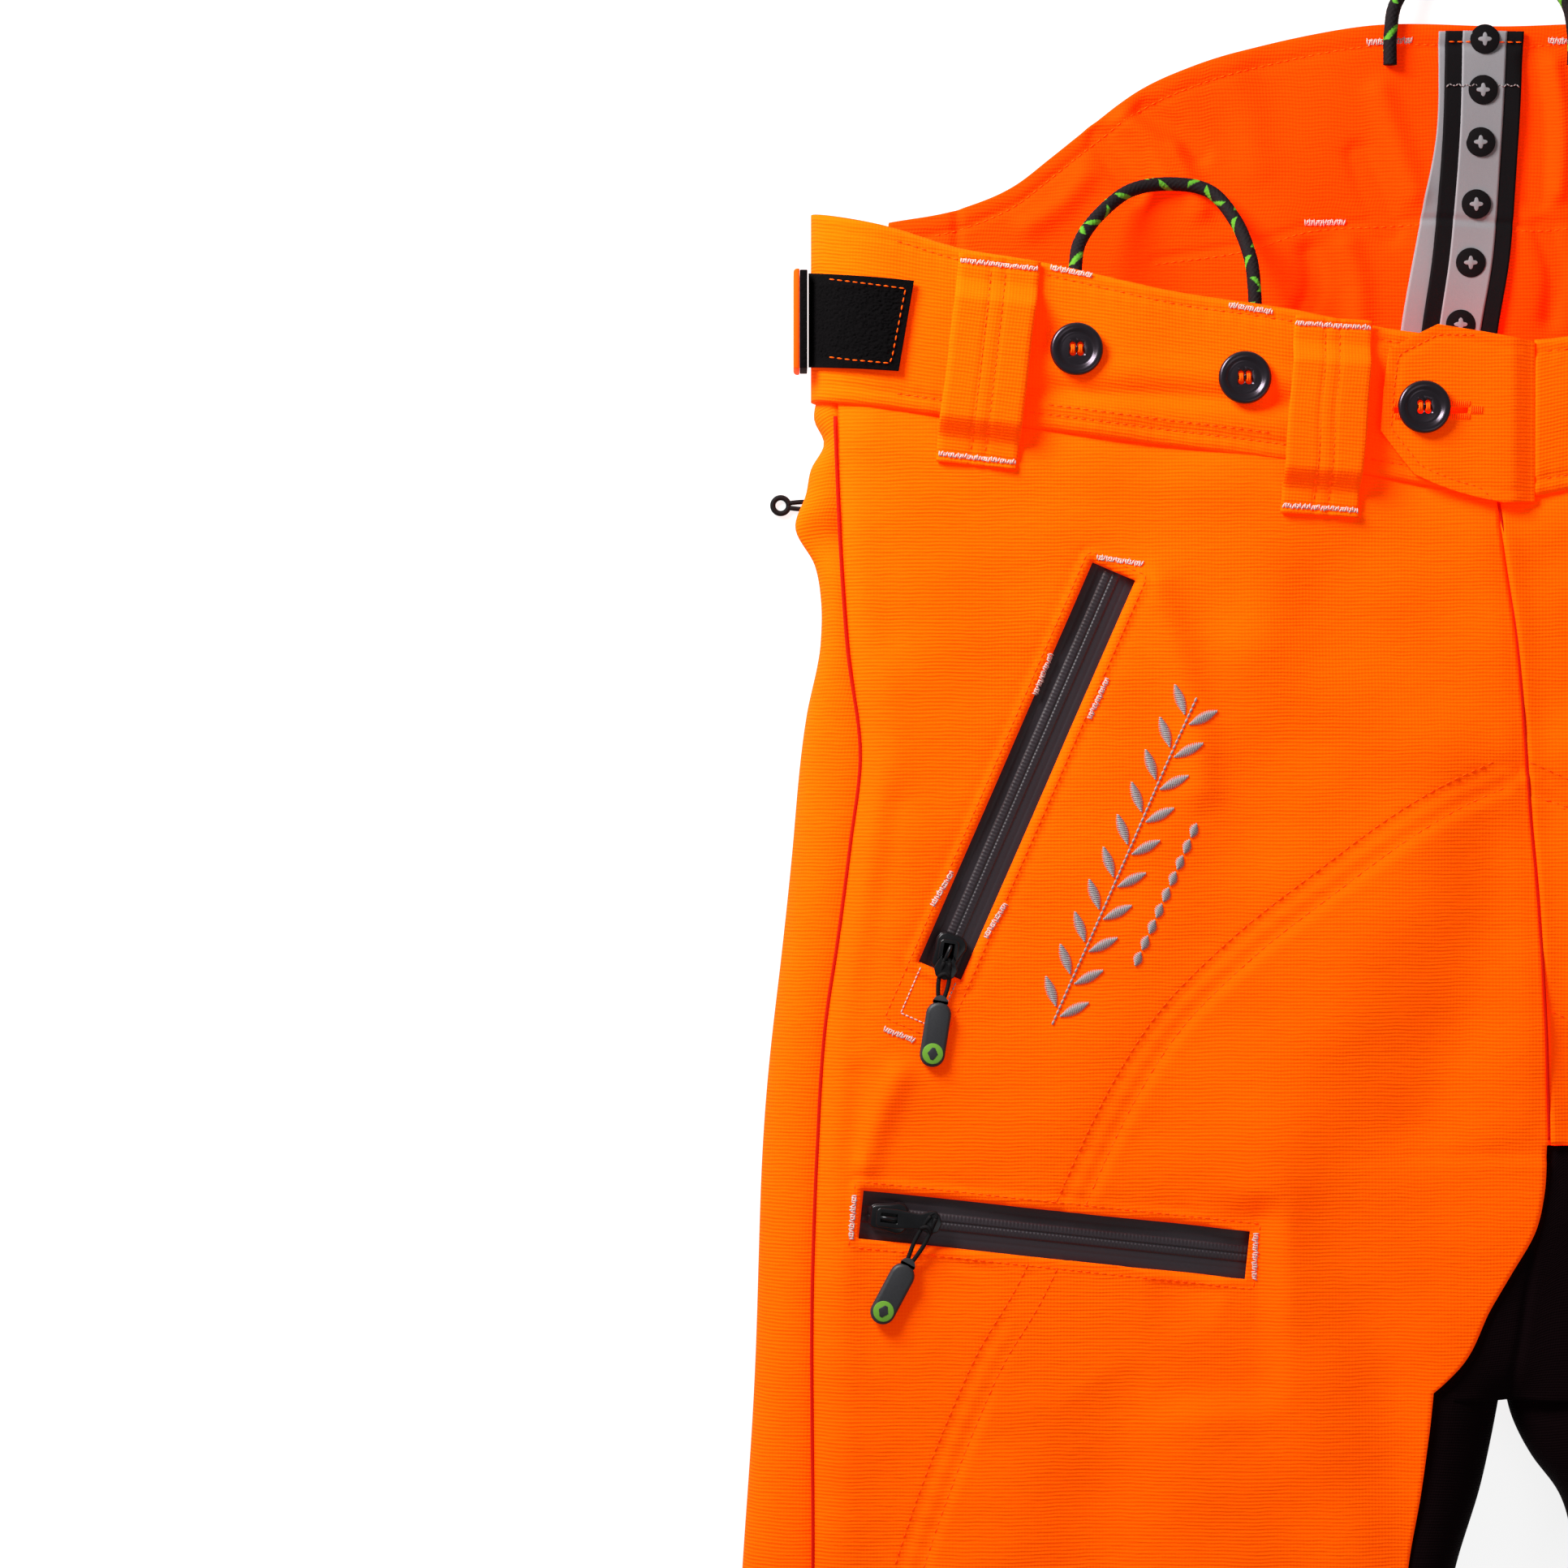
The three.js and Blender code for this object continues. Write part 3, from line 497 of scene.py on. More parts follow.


# %% Long folds of the front, each a given line with a height and a width
FOLDS = [([(-128, 396), (-119, 372), (-113, 348), (-111, 325)], 1.7, 7),
         ([(-232, 330), (-234, 306), (-238, 282), (-241, 262)], 1.6, 6),
         ([(-222, 318), (-226, 290), (-232, 262), (-236, 236)], -1.2, 7),
         ([(-231, 190), (-226, 206), (-219, 222)], 1.7, 5),
         ([(-238, 186), (-236, 204), (-235, 222)], -1.3, 5),
         ([(-92, 156), (-76, 118), (-64, 75), (-58, 30), (-56, -30), (-60, -100)], 2.3, 17),
         ([(-104, 152), (-120, 128), (-142, 96), (-150, 50)], -1.6, 20),
         ([(-70, 170), (-48, 130), (-40, 80), (-42, 20)], -1.4, 12),
         ([(-8, 330), (-30, 340), (-62, 356), (-90, 372)], 1.5, 15),
         ([(-10, 350), (-34, 366), (-70, 388)], -1.1, 14),
         ([(-4, 322), (-6, 290), (-14, 250), (-30, 205)], -1.9, 15),
         ([(-36, 300), (-58, 262), (-78, 222), (-86, 190)], 1.3, 22),
         ([(-186, 440), (-170, 415), (-160, 390)], 1.2, 14),
         ([(-236, 440), (-232, 410), (-226, 380)], -1.0, 10),
         ([(-96, 440), (-88, 412), (-86, 380)], 0.9, 16),
         ([(-180, -40), (-150, -80), (-110, -110), (-80, -120)], 2.2, 18),
         ([(-230, -120), (-190, -160), (-140, -180)], 1.8, 20),
         ([(-90, -210), (-130, -240), (-190, -250)], 2.2, 20),
         ([(-240, -330), (-200, -370), (-150, -380)], 1.8, 22),
         ([(-100, -420), (-140, -450), (-200, -450)], 2.0, 20),
         ([(-110, -560), (-150, -530), (-180, -500)], 1.4, 16)]


FOLD_GAIN = 1.35


def folds_at(x, y, folds):
    total = np.zeros(np.broadcast(x, y).shape)
    for points, height, width in folds:
        line = curve_points(points, 6)
        reach = 3.2 * width
        near = ((x > line[:, 0].min() - reach) & (x < line[:, 0].max() + reach)
                & (y > line[:, 1].min() - reach) & (y < line[:, 1].max() + reach))
        if near.any():
            d, _ = line_distance(x[near], y[near], [tuple(p) for p in line])
            total[near] += FOLD_GAIN * height * bell(d, 0, width)
    return total


# %% Reliefs of the front: pad seam, zip lips, fly, waist seam and hem
PAD_LINE = [tuple(p) for p in curve_points(PAD_ARC, 5)]
SEAM_OFFSET = 6.5
PAD_STEP = 1.1
LIP_HEIGHT = 0.5
LIP_TURN_IN = 1.1
FLY_RIDGE = {"right": -0.9, "left": 1.1}
HEM_ROW = 24


def with_pad_seam(z, mirror, y, pucker):
    d, turn = line_distance(mirror, y, PAD_LINE)
    inside = np.where(turn > 0, 1.0, -1.0) * d
    z = z + PAD_STEP * step(-1.5, 3.5, inside) * step(-590, -560, y)
    z = z - 0.8 * bell(inside, 1.2, 1.3)
    z = z - 0.75 * bell(inside, -SEAM_OFFSET, 1.0) + 0.35 * bell(inside + SEAM_OFFSET, 2.6, 1.6)
    return z + 0.24 * pucker * bell(inside, -3, 7)


def with_zip_lips(z, mirror, y, pucker):
    for zipper in (HAND_ZIP, THIGH_ZIP):
        gap = opening_distance(mirror, y, zipper)
        z = z + LIP_HEIGHT * bell(gap, 2.4, 1.6) - LIP_TURN_IN * np.exp(-np.maximum(gap, 0) / 0.9)
        z = z - 0.3 * bell(gap, 5.6, 1.2) + 0.12 * pucker * bell(gap, 6, 6)
    return z


def with_fly_and_edges(z, x, y, side):
    centre = (x - smooth(CENTRE, y)) * step(GUSSET_TOP - 10, GUSSET_TOP + 20, y)
    away = np.abs(centre) + 40 * (y < GUSSET_TOP - 5)
    z = z + FLY_RIDGE[side] * bell(away, 0, 5)
    top = smooth(BAND_LOWER, -np.abs(x) if side == "right" else -x) - y
    z = z - 1.6 * np.exp(-np.maximum(top, 0) / 5) + 0.5 * bell(top, 14, 7)
    hem = y - HEM
    return z - 0.5 * bell(hem, HEM_ROW, 1.6) + 0.3 * bell(hem, HEM_ROW / 2, 9)


def flat_under_pull(z, mirror, y):
    sweep = step(-242, -226, mirror) * step(-78, -92, mirror) * step(98, 112, y) * step(182, 170, y)
    return z - sweep * np.maximum(z - TOP + 0.1, 0)


def front_height(x, y, side="right"):
    x, y = np.broadcast_arrays(np.asarray(x, float), np.asarray(y, float))
    shape = x.shape
    x, y = x.ravel(), y.ravel()
    mirror = x if side == "right" else -x
    edge = smooth(CREASE, y) + mirror
    z = TOP - EDGE_DROP * np.clip(1 - edge / EDGE_ROLL, 0, 1) ** 2
    seed = SEEDS[side]["front"]
    z = z + waves(x, y, seed, 90, 1.0) + waves(x, y, seed + 1, 34, 0.3)
    z = z + folds_at(mirror, y, FOLDS) * step(4, 16, edge)
    pucker = np.sin(0.62 * y + 0.4 * x + 1.3 * np.sin(0.11 * y))
    z = with_pad_seam(z, mirror, y, pucker)
    z = with_zip_lips(z, mirror, y, pucker)
    z = with_fly_and_edges(z, x, y, side)
    z = flat_under_pull(z, mirror, y)
    return np.clip(z, TOP - EDGE_DROP - 2, TOP + 5).reshape(shape)


# %% Cut the front panel flat, then lift it
def front_inner(side, y):
    low = smooth(INNER[side], y) + smooth(STRIP[side], y) + 0.3
    middle = smooth(GUSSET[side], y) + 0.3
    high = smooth(CENTRE, y) * SIGN[side] + 0.15
    return np.where(y > GUSSET_TOP, high, np.where(y > FORK, middle, low))


CUT_REACH = 14
MERGE = 1e-7


def bisect_near(mesh, zipper, margin):
    start, way, length = zip_frame(zipper)
    side = np.array([-way[1], way[0]])
    middle = start + way * length / 2
    half = (length / 2 + margin, zipper["width"] / 2 + margin)
    for direction, distance in ((way, half[0]), (-way, half[0]), (side, half[1]), (-side, half[1])):
        faces = []
        for face in mesh.faces:
            c = np.array(face.calc_center_median()[:2]) / MM - middle
            if (abs(c @ way) < length / 2 + CUT_REACH
                    and abs(c @ side) < zipper["width"] / 2 + CUT_REACH):
                faces.append(face)
        geometry = set(faces)
        for face in faces:
            geometry.update(face.edges)
            geometry.update(face.verts)
        point = (middle + direction * distance) * MM
        bmesh.ops.bisect_plane(mesh, geom=list(geometry), plane_co=(*point, 0), plane_no=(*direction, 0),
                               dist=MERGE)


LIP_ROWS = (5.0, 2.6, 1.2, 0.0)


def cut_openings(piece, zippers, rows=LIP_ROWS, highest=math.inf):
    mesh = bmesh.new()
    mesh.from_mesh(piece.data)
    for zipper in zippers:
        for margin in rows:
            bisect_near(mesh, zipper, margin)
        start, way, length = zip_frame(zipper)
        side = np.array([-way[1], way[0]])
        middle = start + way * length / 2
        gone = []
        for face in mesh.faces:
            centre = face.calc_center_median() / MM
            c = np.array(centre[:2]) - middle
            if (centre.z < highest and abs(c @ way) < length / 2
                    and abs(c @ side) < zipper["width"] / 2):
                gone.append(face)
        bmesh.ops.delete(mesh, geom=gone, context="FACES")
    mesh.to_mesh(piece.data)
    mesh.free()


def mirrored_zip(zipper):
    return {**zipper, "end": (-zipper["end"][0], zipper["end"][1]),
            "towards": (-zipper["towards"][0], zipper["towards"][1])}


def set_heights(piece, height):
    co = np.empty(len(piece.data.vertices) * 3)
    piece.data.vertices.foreach_get("co", co)
    co = co.reshape(-1, 3) / MM
    co[:, 2] = height(co[:, 0], co[:, 1])
    piece.data.vertices.foreach_set("co", (co * MM).ravel())
    piece.data.update()


SEAM_TUCK = -2.5


def front_panel(side):
    sign = SIGN[side]
    ys = np.concatenate([np.linspace(HEM, 20, 72)[:-1], np.linspace(20, FORK, 42)[:-1],
                         np.linspace(FORK, GUSSET_TOP, 42), np.linspace(GUSSET_TOP + 0.3, 440, 112)])
    outer = smooth(CREASE, ys)
    inner = front_inner(side, ys)
    ease = np.linspace(0, 1, 124)
    half = outer[:, None] + (inner - outer)[:, None] * ease[None, :]
    lift = np.clip((ys - 350) / 90, 0, 1)[:, None]
    seam = smooth(BAND_LOWER, -np.abs(half)) - SEAM_TUCK
    y = ys[:, None] + lift * (seam - 440)
    points = np.stack([sign * half, y, np.zeros_like(y)], -1)
    uv = points[..., :2].reshape(-1, 2)
    faces = grid_faces(*half.shape, flip=side == "right")
    piece = finish_mesh(f"front_cloth_{side}", points.reshape(-1, 3), faces[:, ::-1], ORANGE, uv)
    zippers = [HAND_ZIP, THIGH_ZIP] if side == "right" else [mirrored_zip(HAND_ZIP), mirrored_zip(THIGH_ZIP)]
    cut_openings(piece, zippers)
    set_heights(piece, lambda px, py: front_height(px, py, side))
    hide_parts(f"front_panel_{side}")
    return thicken(piece, CLOTH_THICKNESS)


front_cloth = {side: front_panel(side) for side in ("right", "left")}
for side, piece in front_cloth.items():
    print(piece.name, len(piece.data.polygons), "faces")

# %% [markdown]
# ## Back panels
# The back panel carries the garment's weight and is pressed flat on the floor. At the side it rolls up
# and forward and ends under the crease of the front, so the leg reads as a tube. Near the rear pocket
# the roll bulges and pinches, where the pocket zip starts.

# %% Back cloth, from the seat seam round the side to the crease
BACK_TOP = node_box("back_panel_right")[1][1]
ROLL = node_box("back_panel_side_right")[1][2] / 2
rear_tape = node_box("rear_zip_tape_right")
REAR_Y = float((rear_tape[0][1] + rear_tape[1][1]) / 2)
ROLL_UNDER = 0.55
FLAT_UP_TO = 440
FLAT_BELOW = 4


def back_half(side):
    sign = SIGN[side]
    ys = np.concatenate([np.linspace(HEM, 0, 70)[:-1], np.linspace(0, FORK, 20)[:-1],
                         [FORK - 0.2, FORK + 0.2], np.linspace(FORK + 4, 350, 50)[:-1],
                         np.linspace(350, 448, 60), np.linspace(450, 468, 10)])
    centre = smooth(CREASE, ys)
    reach = smooth(OUTER, ys) - centre
    inner = np.where(ys < FORK, smooth(INNER[side], ys) + 17.3, 0.0)
    flat = np.linspace(0, 1, 40)[None, :]
    flat_x = inner[:, None] + (centre - inner)[:, None] * flat
    flat_z = np.zeros_like(flat_x) + 0.02
    crowded = FLAT_UP_TO + (ys - FLAT_UP_TO) * (BACK_TOP - FLAT_UP_TO) / (ys[-1] - FLAT_UP_TO)
    flat_y = np.where(ys < FLAT_UP_TO, ys, crowded)
    turn = np.linspace(-math.pi / 2, math.pi / 2 + ROLL_UNDER, 36)[None, 1:]
    roll_x = centre[:, None] + reach[:, None] * np.cos(turn)
    roll_z = ROLL + ROLL * np.sin(turn)
    y2 = np.broadcast_to(ys[:, None], roll_x.shape)
    crumple = waves(y2 * 0.4, roll_z * 3, SEEDS[side]["side_roll"], 70, 0.9)
    roll_x = roll_x + crumple * np.cos(turn) * 0.8
    near_pocket = bell(y2, 414, 9)
    roll_z = roll_z - 4 * near_pocket * step(0.2, 1.2, turn)
    points = np.stack([sign * np.concatenate([flat_x, roll_x], 1),
                       np.concatenate([np.broadcast_to(flat_y[:, None], flat_x.shape), y2], 1),
                       np.concatenate([flat_z, roll_z], 1)], -1)
    piece = grid_piece(f"back_cloth_{side}", points, ORANGE, flip=side == "left")
    notch = {"end": (sign * 236.0, REAR_Y), "towards": (sign * 96.0, REAR_Y), "width": 15.0}
    cut_openings(piece, [notch], rows=(0.0,), highest=FLAT_BELOW)
    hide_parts(f"back_panel_{side}", f"back_panel_side_{side}")
    return thicken(piece, CLOTH_THICKNESS)


back_cloth = {side: back_half(side) for side in ("right", "left")}
for side, piece in back_cloth.items():
    print(piece.name, len(piece.data.polygons), "faces")

# %% [markdown]
# ## Black stretch panels
# A two-way stretch cloth lines the inside of each leg and fills the crotch. It rolls from the front
# seam round the inner edge to the back, and sinks a little at its seams.

# %% Inner legs and crotch gusset
def inner_leg(side):
    sign = SIGN[side]
    ys = np.concatenate([np.linspace(HEM, 0, 60)[:-1], np.linspace(0, FORK, 56)])
    line = smooth(INNER[side], ys)[:, None]
    strip = smooth(STRIP[side], ys)[:, None]
    turn = np.linspace(0, math.pi, 44)[None, :]
    width = np.where(turn < math.pi / 2, strip, 17.0)
    middle = TOP / 2
    x = line + width - width * np.sin(turn) ** 0.8
    z = middle + middle * np.cos(turn)
    y = np.broadcast_to(ys[:, None], x.shape)
    z = z + waves(y, x, SEEDS[side]["inner_leg"], 60, 0.7) * np.sin(turn)
    z = z - 1.0 * bell(turn, 0, 0.12)
    points = np.stack([sign * x, y, np.clip(z, 0.02, None)], -1)
    piece = grid_piece(f"inner_leg_cloth_{side}", points, BLACK, flip=side == "left")
    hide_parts(f"inner_leg_panel_{side}")
    return thicken(piece, CLOTH_THICKNESS)


inner_legs = {side: inner_leg(side) for side in ("right", "left")}


def gusset():
    ys = np.linspace(FORK - 3.5, GUSSET_TOP - 0.2, 60)
    right = -smooth(GUSSET["right"], ys)
    left = smooth(GUSSET["left"], ys)
    t = np.linspace(0, 1, 48)[None, :]
    x = right[:, None] + (left - right)[:, None] * t
    y = np.broadcast_to(ys[:, None], x.shape)
    z = TOP + waves(x, y, 41, 50, 0.5) - 0.9 * bell(t * 48, 0, 2.4)
    z = z - 0.9 * bell((1 - t) * 48, 0, 2.4)
    seam = np.interp(y, [FORK, 130, 167, GUSSET_TOP], [0, 4, 9, 14])
    z = z - 1.3 * bell(x, seam, 1.6)
    fork = np.hypot(x, y - (FORK - 6))
    z = z - 7.0 * bell(fork, 0, 9)
    piece = grid_piece("gusset_cloth", np.stack([x, y, z], -1), BLACK)
    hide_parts("crotch_gusset")
    return thicken(piece, CLOTH_THICKNESS)


gusset()
print("black cloth:", len(inner_legs["right"].data.polygons), "faces a leg")

# %% [markdown]
# ## Waistband, tab and belt loops
# The waistband is a double layer of cloth that runs flat across the front and rolls round each side.
# Its height function is kept for the stitches, just as for the front panels.

# %% Waistbands
BAND_TOP = node_box("waistband_right")[1][2]
BAND_EDGE = 222.0
BAND_HALF = 250.0
BAND_SINK = 1.1
TAB_HINGE = 8.2
BAND_CREASE = [(-172, 468.5), (-150, 466), (-120, 465), (-79, 462.5)]


def band_relief(x, y, side):
    u = -np.abs(x)
    low, high = smooth(BAND_LOWER, u), smooth(BAND_UPPER, u)
    t = (y - low) / (high - low)
    relief = 0.45 * np.sin(math.pi * np.clip(t, 0, 1)) + waves(x, y, SEEDS[side]["band"], 46, 0.35)
    relief = relief - 0.6 * bell(high - y, 4.5, 1.3) - 0.7 * bell(y - low, 6, 1.3)
    ribs = np.sin(u * 1.05 + 0.4 * np.sin(y * 0.2)) * (bell(y - low, 6, 5) + bell(high - y, 5, 5))
    relief = relief + 0.1 * ribs
    if side == "right":
        d, _ = line_distance(x, y, [tuple(p) for p in curve_points(BAND_CREASE, 8)])
        relief = relief - 1.3 * bell(d, 0, 3.2) + 0.9 * bell(d, 8, 5)
    return relief


def band_height(x, y, side):
    return BAND_TOP - BAND_SINK + band_relief(np.asarray(x, float), np.asarray(y, float), side)


def waistband(side):
    sign = SIGN[side]
    start = 0.0 if side == "right" else TAB_HINGE + 0.3
    flat = np.linspace(start, BAND_EDGE, 150)
    turn = np.linspace(math.pi / 2, -math.pi / 2, 34)[1:]
    t = np.linspace(0, 1, 44)[:, None]
    xs = np.concatenate([flat, BAND_EDGE + (BAND_HALF - BAND_EDGE) * np.cos(turn)])
    low, high = smooth(BAND_LOWER, -xs), smooth(BAND_UPPER, -xs)
    y = low + (high - low) * t
    x = np.broadcast_to(sign * xs, y.shape)
    zc = BAND_TOP / 2
    base = np.concatenate([np.full(len(flat), BAND_TOP - BAND_SINK), zc + (zc - BAND_SINK) * np.sin(turn)])
    fade = np.concatenate([np.ones(len(flat)), np.clip(np.sin(turn), 0, 1)])
    z = base + band_relief(x, y, side) * fade
    z = z - 1.5 * np.exp(-(np.minimum(t, 1 - t) * 68 / 1.4) ** 2) * fade
    points = np.stack([x, y, z], -1)
    piece = grid_piece(f"waistband_cloth_{side}", points, ORANGE, flip=side == "right")
    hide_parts(f"waistband_{side}")
    return thicken(piece, 2.6)


for side in ("right", "left"):
    waistband(side)

# %% Waist tab, with a real buttonhole
BUTTON_AT = (-31.9, 460.3)
TAB_OUTLINE = [(TAB_HINGE, 484), (-10, 487.3), (-26.7, 490), (-35, 486), (-44, 481), (-46, 467), (-47, 452),
               (-41, 444), (-35, 436.5), (-28, 433.3), (-21, 430.7), (-12, 428.2), (-3.5, 426.5),
               (TAB_HINGE, 427)]
TAB_TOP = node_box("waist_tab")[1][2]


def inset_outline(outline, distance):
    points = np.array(outline, float)
    before, after = np.roll(points, 1, 0), np.roll(points, -1, 0)
    way = (after - before) / np.linalg.norm(after - before, axis=1)[:, None]
    area = np.sum(points[:, 0] * after[:, 1] - after[:, 0] * points[:, 1])
    inward = np.stack([-way[:, 1], way[:, 0]], 1) * (1 if area > 0 else -1)
    return [tuple(p) for p in points + inward * distance]


def tab_height(x, y):
    x, y = np.asarray(x, float), np.asarray(y, float)
    ring = TAB_OUTLINE + TAB_OUTLINE[:1]
    d, _ = line_distance(x, y, ring)
    level = TAB_TOP - 0.3 - (TAB_TOP - BAND_TOP + 0.5) * step(-1, TAB_HINGE + 1, x)
    d = np.where(x > 3, 20, d)
    return level - 0.35 * bell(d, 4, 1.2) + waves(x, y, 61, 30, 0.16)


def waist_tab():
    mesh = bmesh.new()
    corners = [mesh.verts.new((x * MM, y * MM, 0)) for x, y in TAB_OUTLINE]
    mesh.faces.new(corners[::-1])
    for axis, low, high in ((0, -50, 10), (1, 424, 492)):
        for value in np.arange(low, high, 1.1):
            place = [0, 0, 0]
            place[axis] = value * MM
            way = [0, 0, 0]
            way[axis] = 1
            everything = list(mesh.verts) + list(mesh.edges) + list(mesh.faces)
            bmesh.ops.bisect_plane(mesh, geom=everything, plane_co=place, plane_no=way, dist=MERGE)
    hole = [f for f in mesh.faces if abs(f.calc_center_median().y / MM - (BUTTON_AT[1] - 0.9)) < 1.0
            and -42.5 < f.calc_center_median().x / MM < -15.5]
    bmesh.ops.delete(mesh, geom=hole, context="FACES")
    for face in mesh.faces:
        face.smooth = True
    if sum(f.normal.z for f in mesh.faces) < 0:
        bmesh.ops.reverse_faces(mesh, faces=list(mesh.faces))
    for vert in mesh.verts:
        vert.co.z = float(tab_height(vert.co.x / MM, vert.co.y / MM)) * MM
    layer = mesh.loops.layers.uv.new("Cloth")
    for face in mesh.faces:
        for corner in face.loops:
            corner[layer].uv = corner.vert.co.xy
    data = bpy.data.meshes.new("waist_tab_cloth")
    mesh.to_mesh(data)
    mesh.free()
    data.materials.append(ORANGE)
    piece = add_object("waist_tab_cloth", data)
    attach(piece, "tab_flap")
    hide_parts("waist_tab")
    thicken(piece, 2.1)
    return rounded(piece, 0.5, 50)


tab_cloth = waist_tab()

# %% Belt loops: straps that stand off the band between two sewn feet
LOOPS = {"side": {"centre": (-187.0, 476.8), "length": 74.6, "width": 29.0, "angle": math.atan2(74.1, 8.4)},
         "front": {"centre": (-66.2, 457.1), "length": 70.4, "width": 28.0, "angle": math.atan2(70.2, 4.9)}}
LOOP_TOP = node_box("belt_loop_side_right")[1][2]
LOOP_FOOT = 8.0
LOOP_RAMP = 9.0


def loop_height(along, across, length):
    edge = length / 2 - np.abs(along)
    lift = step(LOOP_FOOT, LOOP_FOOT + LOOP_RAMP, edge)
    z = 43.2 + (LOOP_TOP - 43.4) * lift
    z = z - 0.6 * bell(edge, 2.6, 1.2)
    return (z - 0.35 * bell(np.abs(across), 2.6, 1.0)
            - 0.9 * np.clip((np.abs(across) - 12) / 2.5, 0, 1) ** 2)


def loop_place(loop, along, across):
    c, s = math.cos(loop["angle"]), math.sin(loop["angle"])
    return loop["centre"][0] + along * c - across * s, loop["centre"][1] + along * s + across * c


def belt_loop(kind, side):
    loop = LOOPS[kind]
    along = np.linspace(-loop["length"] / 2, loop["length"] / 2, 110)[:, None]
    across = np.linspace(-loop["width"] / 2, loop["width"] / 2, 42)[None, :]
    a, b = np.broadcast_arrays(along, across)
    wobble = waves(a, b, 71 if kind == "side" else 72, 40, 0.5)
    x, y = loop_place(loop, a, b + wobble * 0.8)
    z = loop_height(a, b, loop["length"]) + 0.25 * wobble
    piece = grid_piece(f"belt_loop_{kind}_cloth_{side}", np.stack([x, y, z], -1), ORANGE, flip=True)
    if side == "left":
        copy = mirror_piece(piece, piece.name)
        bpy.data.objects.remove(piece)
        piece = copy
    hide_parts(f"belt_loop_{kind}_{side}")
    thicken(piece, 1.7)
    return piece


belt_loops = [belt_loop(kind, side) for kind in LOOPS for side in ("right", "left")]
print("belt loops:", len(belt_loops))

# %% [markdown]
# ## Back rise
# Behind the open waist lies the high back: an outer cloth, an elastic and a deeper orange facing with
# gathers where the elastic pulls. The hanger ribbon is sewn down its middle.

# %% Outer cloth and facing of the back rise
RISE_EDGE = [(-221.5, 531), (-195, 536), (-174.5, 545), (-163, 554), (-148, 566), (-131, 578.6),
             (-110.7, 588), (-87.5, 595), (-64, 600), (-47, 602.6), (0, 602.6), (47, 602.6), (64, 600),
             (87.5, 595), (110.7, 588), (131, 578.6), (148, 566), (163, 554), (174.5, 545), (195, 536),
             (221.5, 531)]
RISE_BOTTOM = 448.0
FACING_SEAM = [(-125, 517.7), (-87.5, 523.5), (-70, 529.3), (-45, 531.5), (-20.9, 532.2), (11, 530),
               (46, 532), (90, 523.5), (125, 517.7)]
GATHERS = [([(-136, 568), (-126, 560), (-119, 548)], 1.2, 4),
           ([(-145, 562), (-137, 550), (-131, 541)], -1.2, 3.5),
           ([(-128, 572), (-117, 566), (-108, 556)], -1.1, 3.5),
           ([(-118, 556), (-112, 545), (-108, 536)], 0.9, 4),
           ([(-42, 578), (-36, 560), (-30, 542)], 0.9, 5),
           ([(-50, 556), (-44, 540), (-38, 528)], -1.0, 4),
           ([(-150, 548), (-158, 538), (-170, 530)], 0.8, 5),
           ([(13, 590), (16, 566), (15, 540)], -1.2, 3.5),
           ([(21, 588), (24, 566), (23, 542)], 1.1, 3.5),
           ([(-96, 586), (-90, 570), (-88, 552)], 0.6, 8),
           ([(-68, 520), (-66, 508), (-70, 498)], -0.9, 4),
           ([(-54, 522), (-50, 508), (-50, 494)], 0.9, 5),
           ([(18, 528), (22, 512), (20, 496)], -1.1, 4),
           ([(120, 560), (128, 548), (126, 536)], 1.0, 4),
           ([(140, 556), (134, 544), (136, 534)], -1.0, 4),
           ([(60, 580), (66, 560), (62, 540)], 0.8, 6)]


def facing_height(x, y):
    x, y = np.broadcast_arrays(np.asarray(x, float), np.asarray(y, float))
    shape = x.shape
    x, y = x.ravel(), y.ravel()
    z = 6.4 + waves(x, y, 81, 60, 0.8) + 1.9 * folds_at(x, y, GATHERS)
    edge = straight(RISE_EDGE, x) - y
    z = z - 0.5 * bell(edge, 7.5, 1.5) + 0.35 * bell(edge, 3, 2.5)
    d, _ = line_distance(x, y, FACING_SEAM)
    z = z - 0.7 * bell(d, 0, 1.4)
    z = z - 1.4 * bell(np.abs(x), 196.5, 1.6)
    return np.clip(z, 4.9, 9.6).reshape(shape)


def rise_sheet(name, height, material, thickness):
    x = np.linspace(-221.5, 221.5, 330)
    top = smooth(RISE_EDGE, x)
    t = np.linspace(0, 1, 110)[:, None]
    y = RISE_BOTTOM + (top - RISE_BOTTOM) * t
    xx = np.broadcast_to(x, y.shape)
    piece = grid_piece(name, np.stack([xx, y, height(xx, y)], -1), material)
    return thicken(piece, thickness)


facing = rise_sheet("facing_cloth", facing_height, FACING, 1.2)
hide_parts("back_rise_facing")
rise = rise_sheet("back_rise_cloth", lambda x, y: 2.3 + 0.0 * x, ORANGE, 1.6)
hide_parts("back_rise_outer")

# %% Hanger ribbon: grey centre, black edges, a plain woven lozenge row
RIBBON_LEFT = [(468, -28.3), (483, -28), (520, -23.2), (560, -19.8), (600.5, -18.6)]
RIBBON_RIGHT = [(468, -1), (483, -0.6), (520, 5), (560, 8), (600.5, 10.1)]
RIBBON_REVERSE = [(468, -37), (490, -35), (530, -28), (562, -22), (600.5, -21)]
RIBBON_EDGE = 6.2
RIBBON_MOTIFS = [597.5, 579, 560, 537.4, 516, 493.5]


def ribbon_height(x, y):
    return facing_height(x, y) + 1.9 + 0.6 * np.sin((y - 470) / 21) ** 2


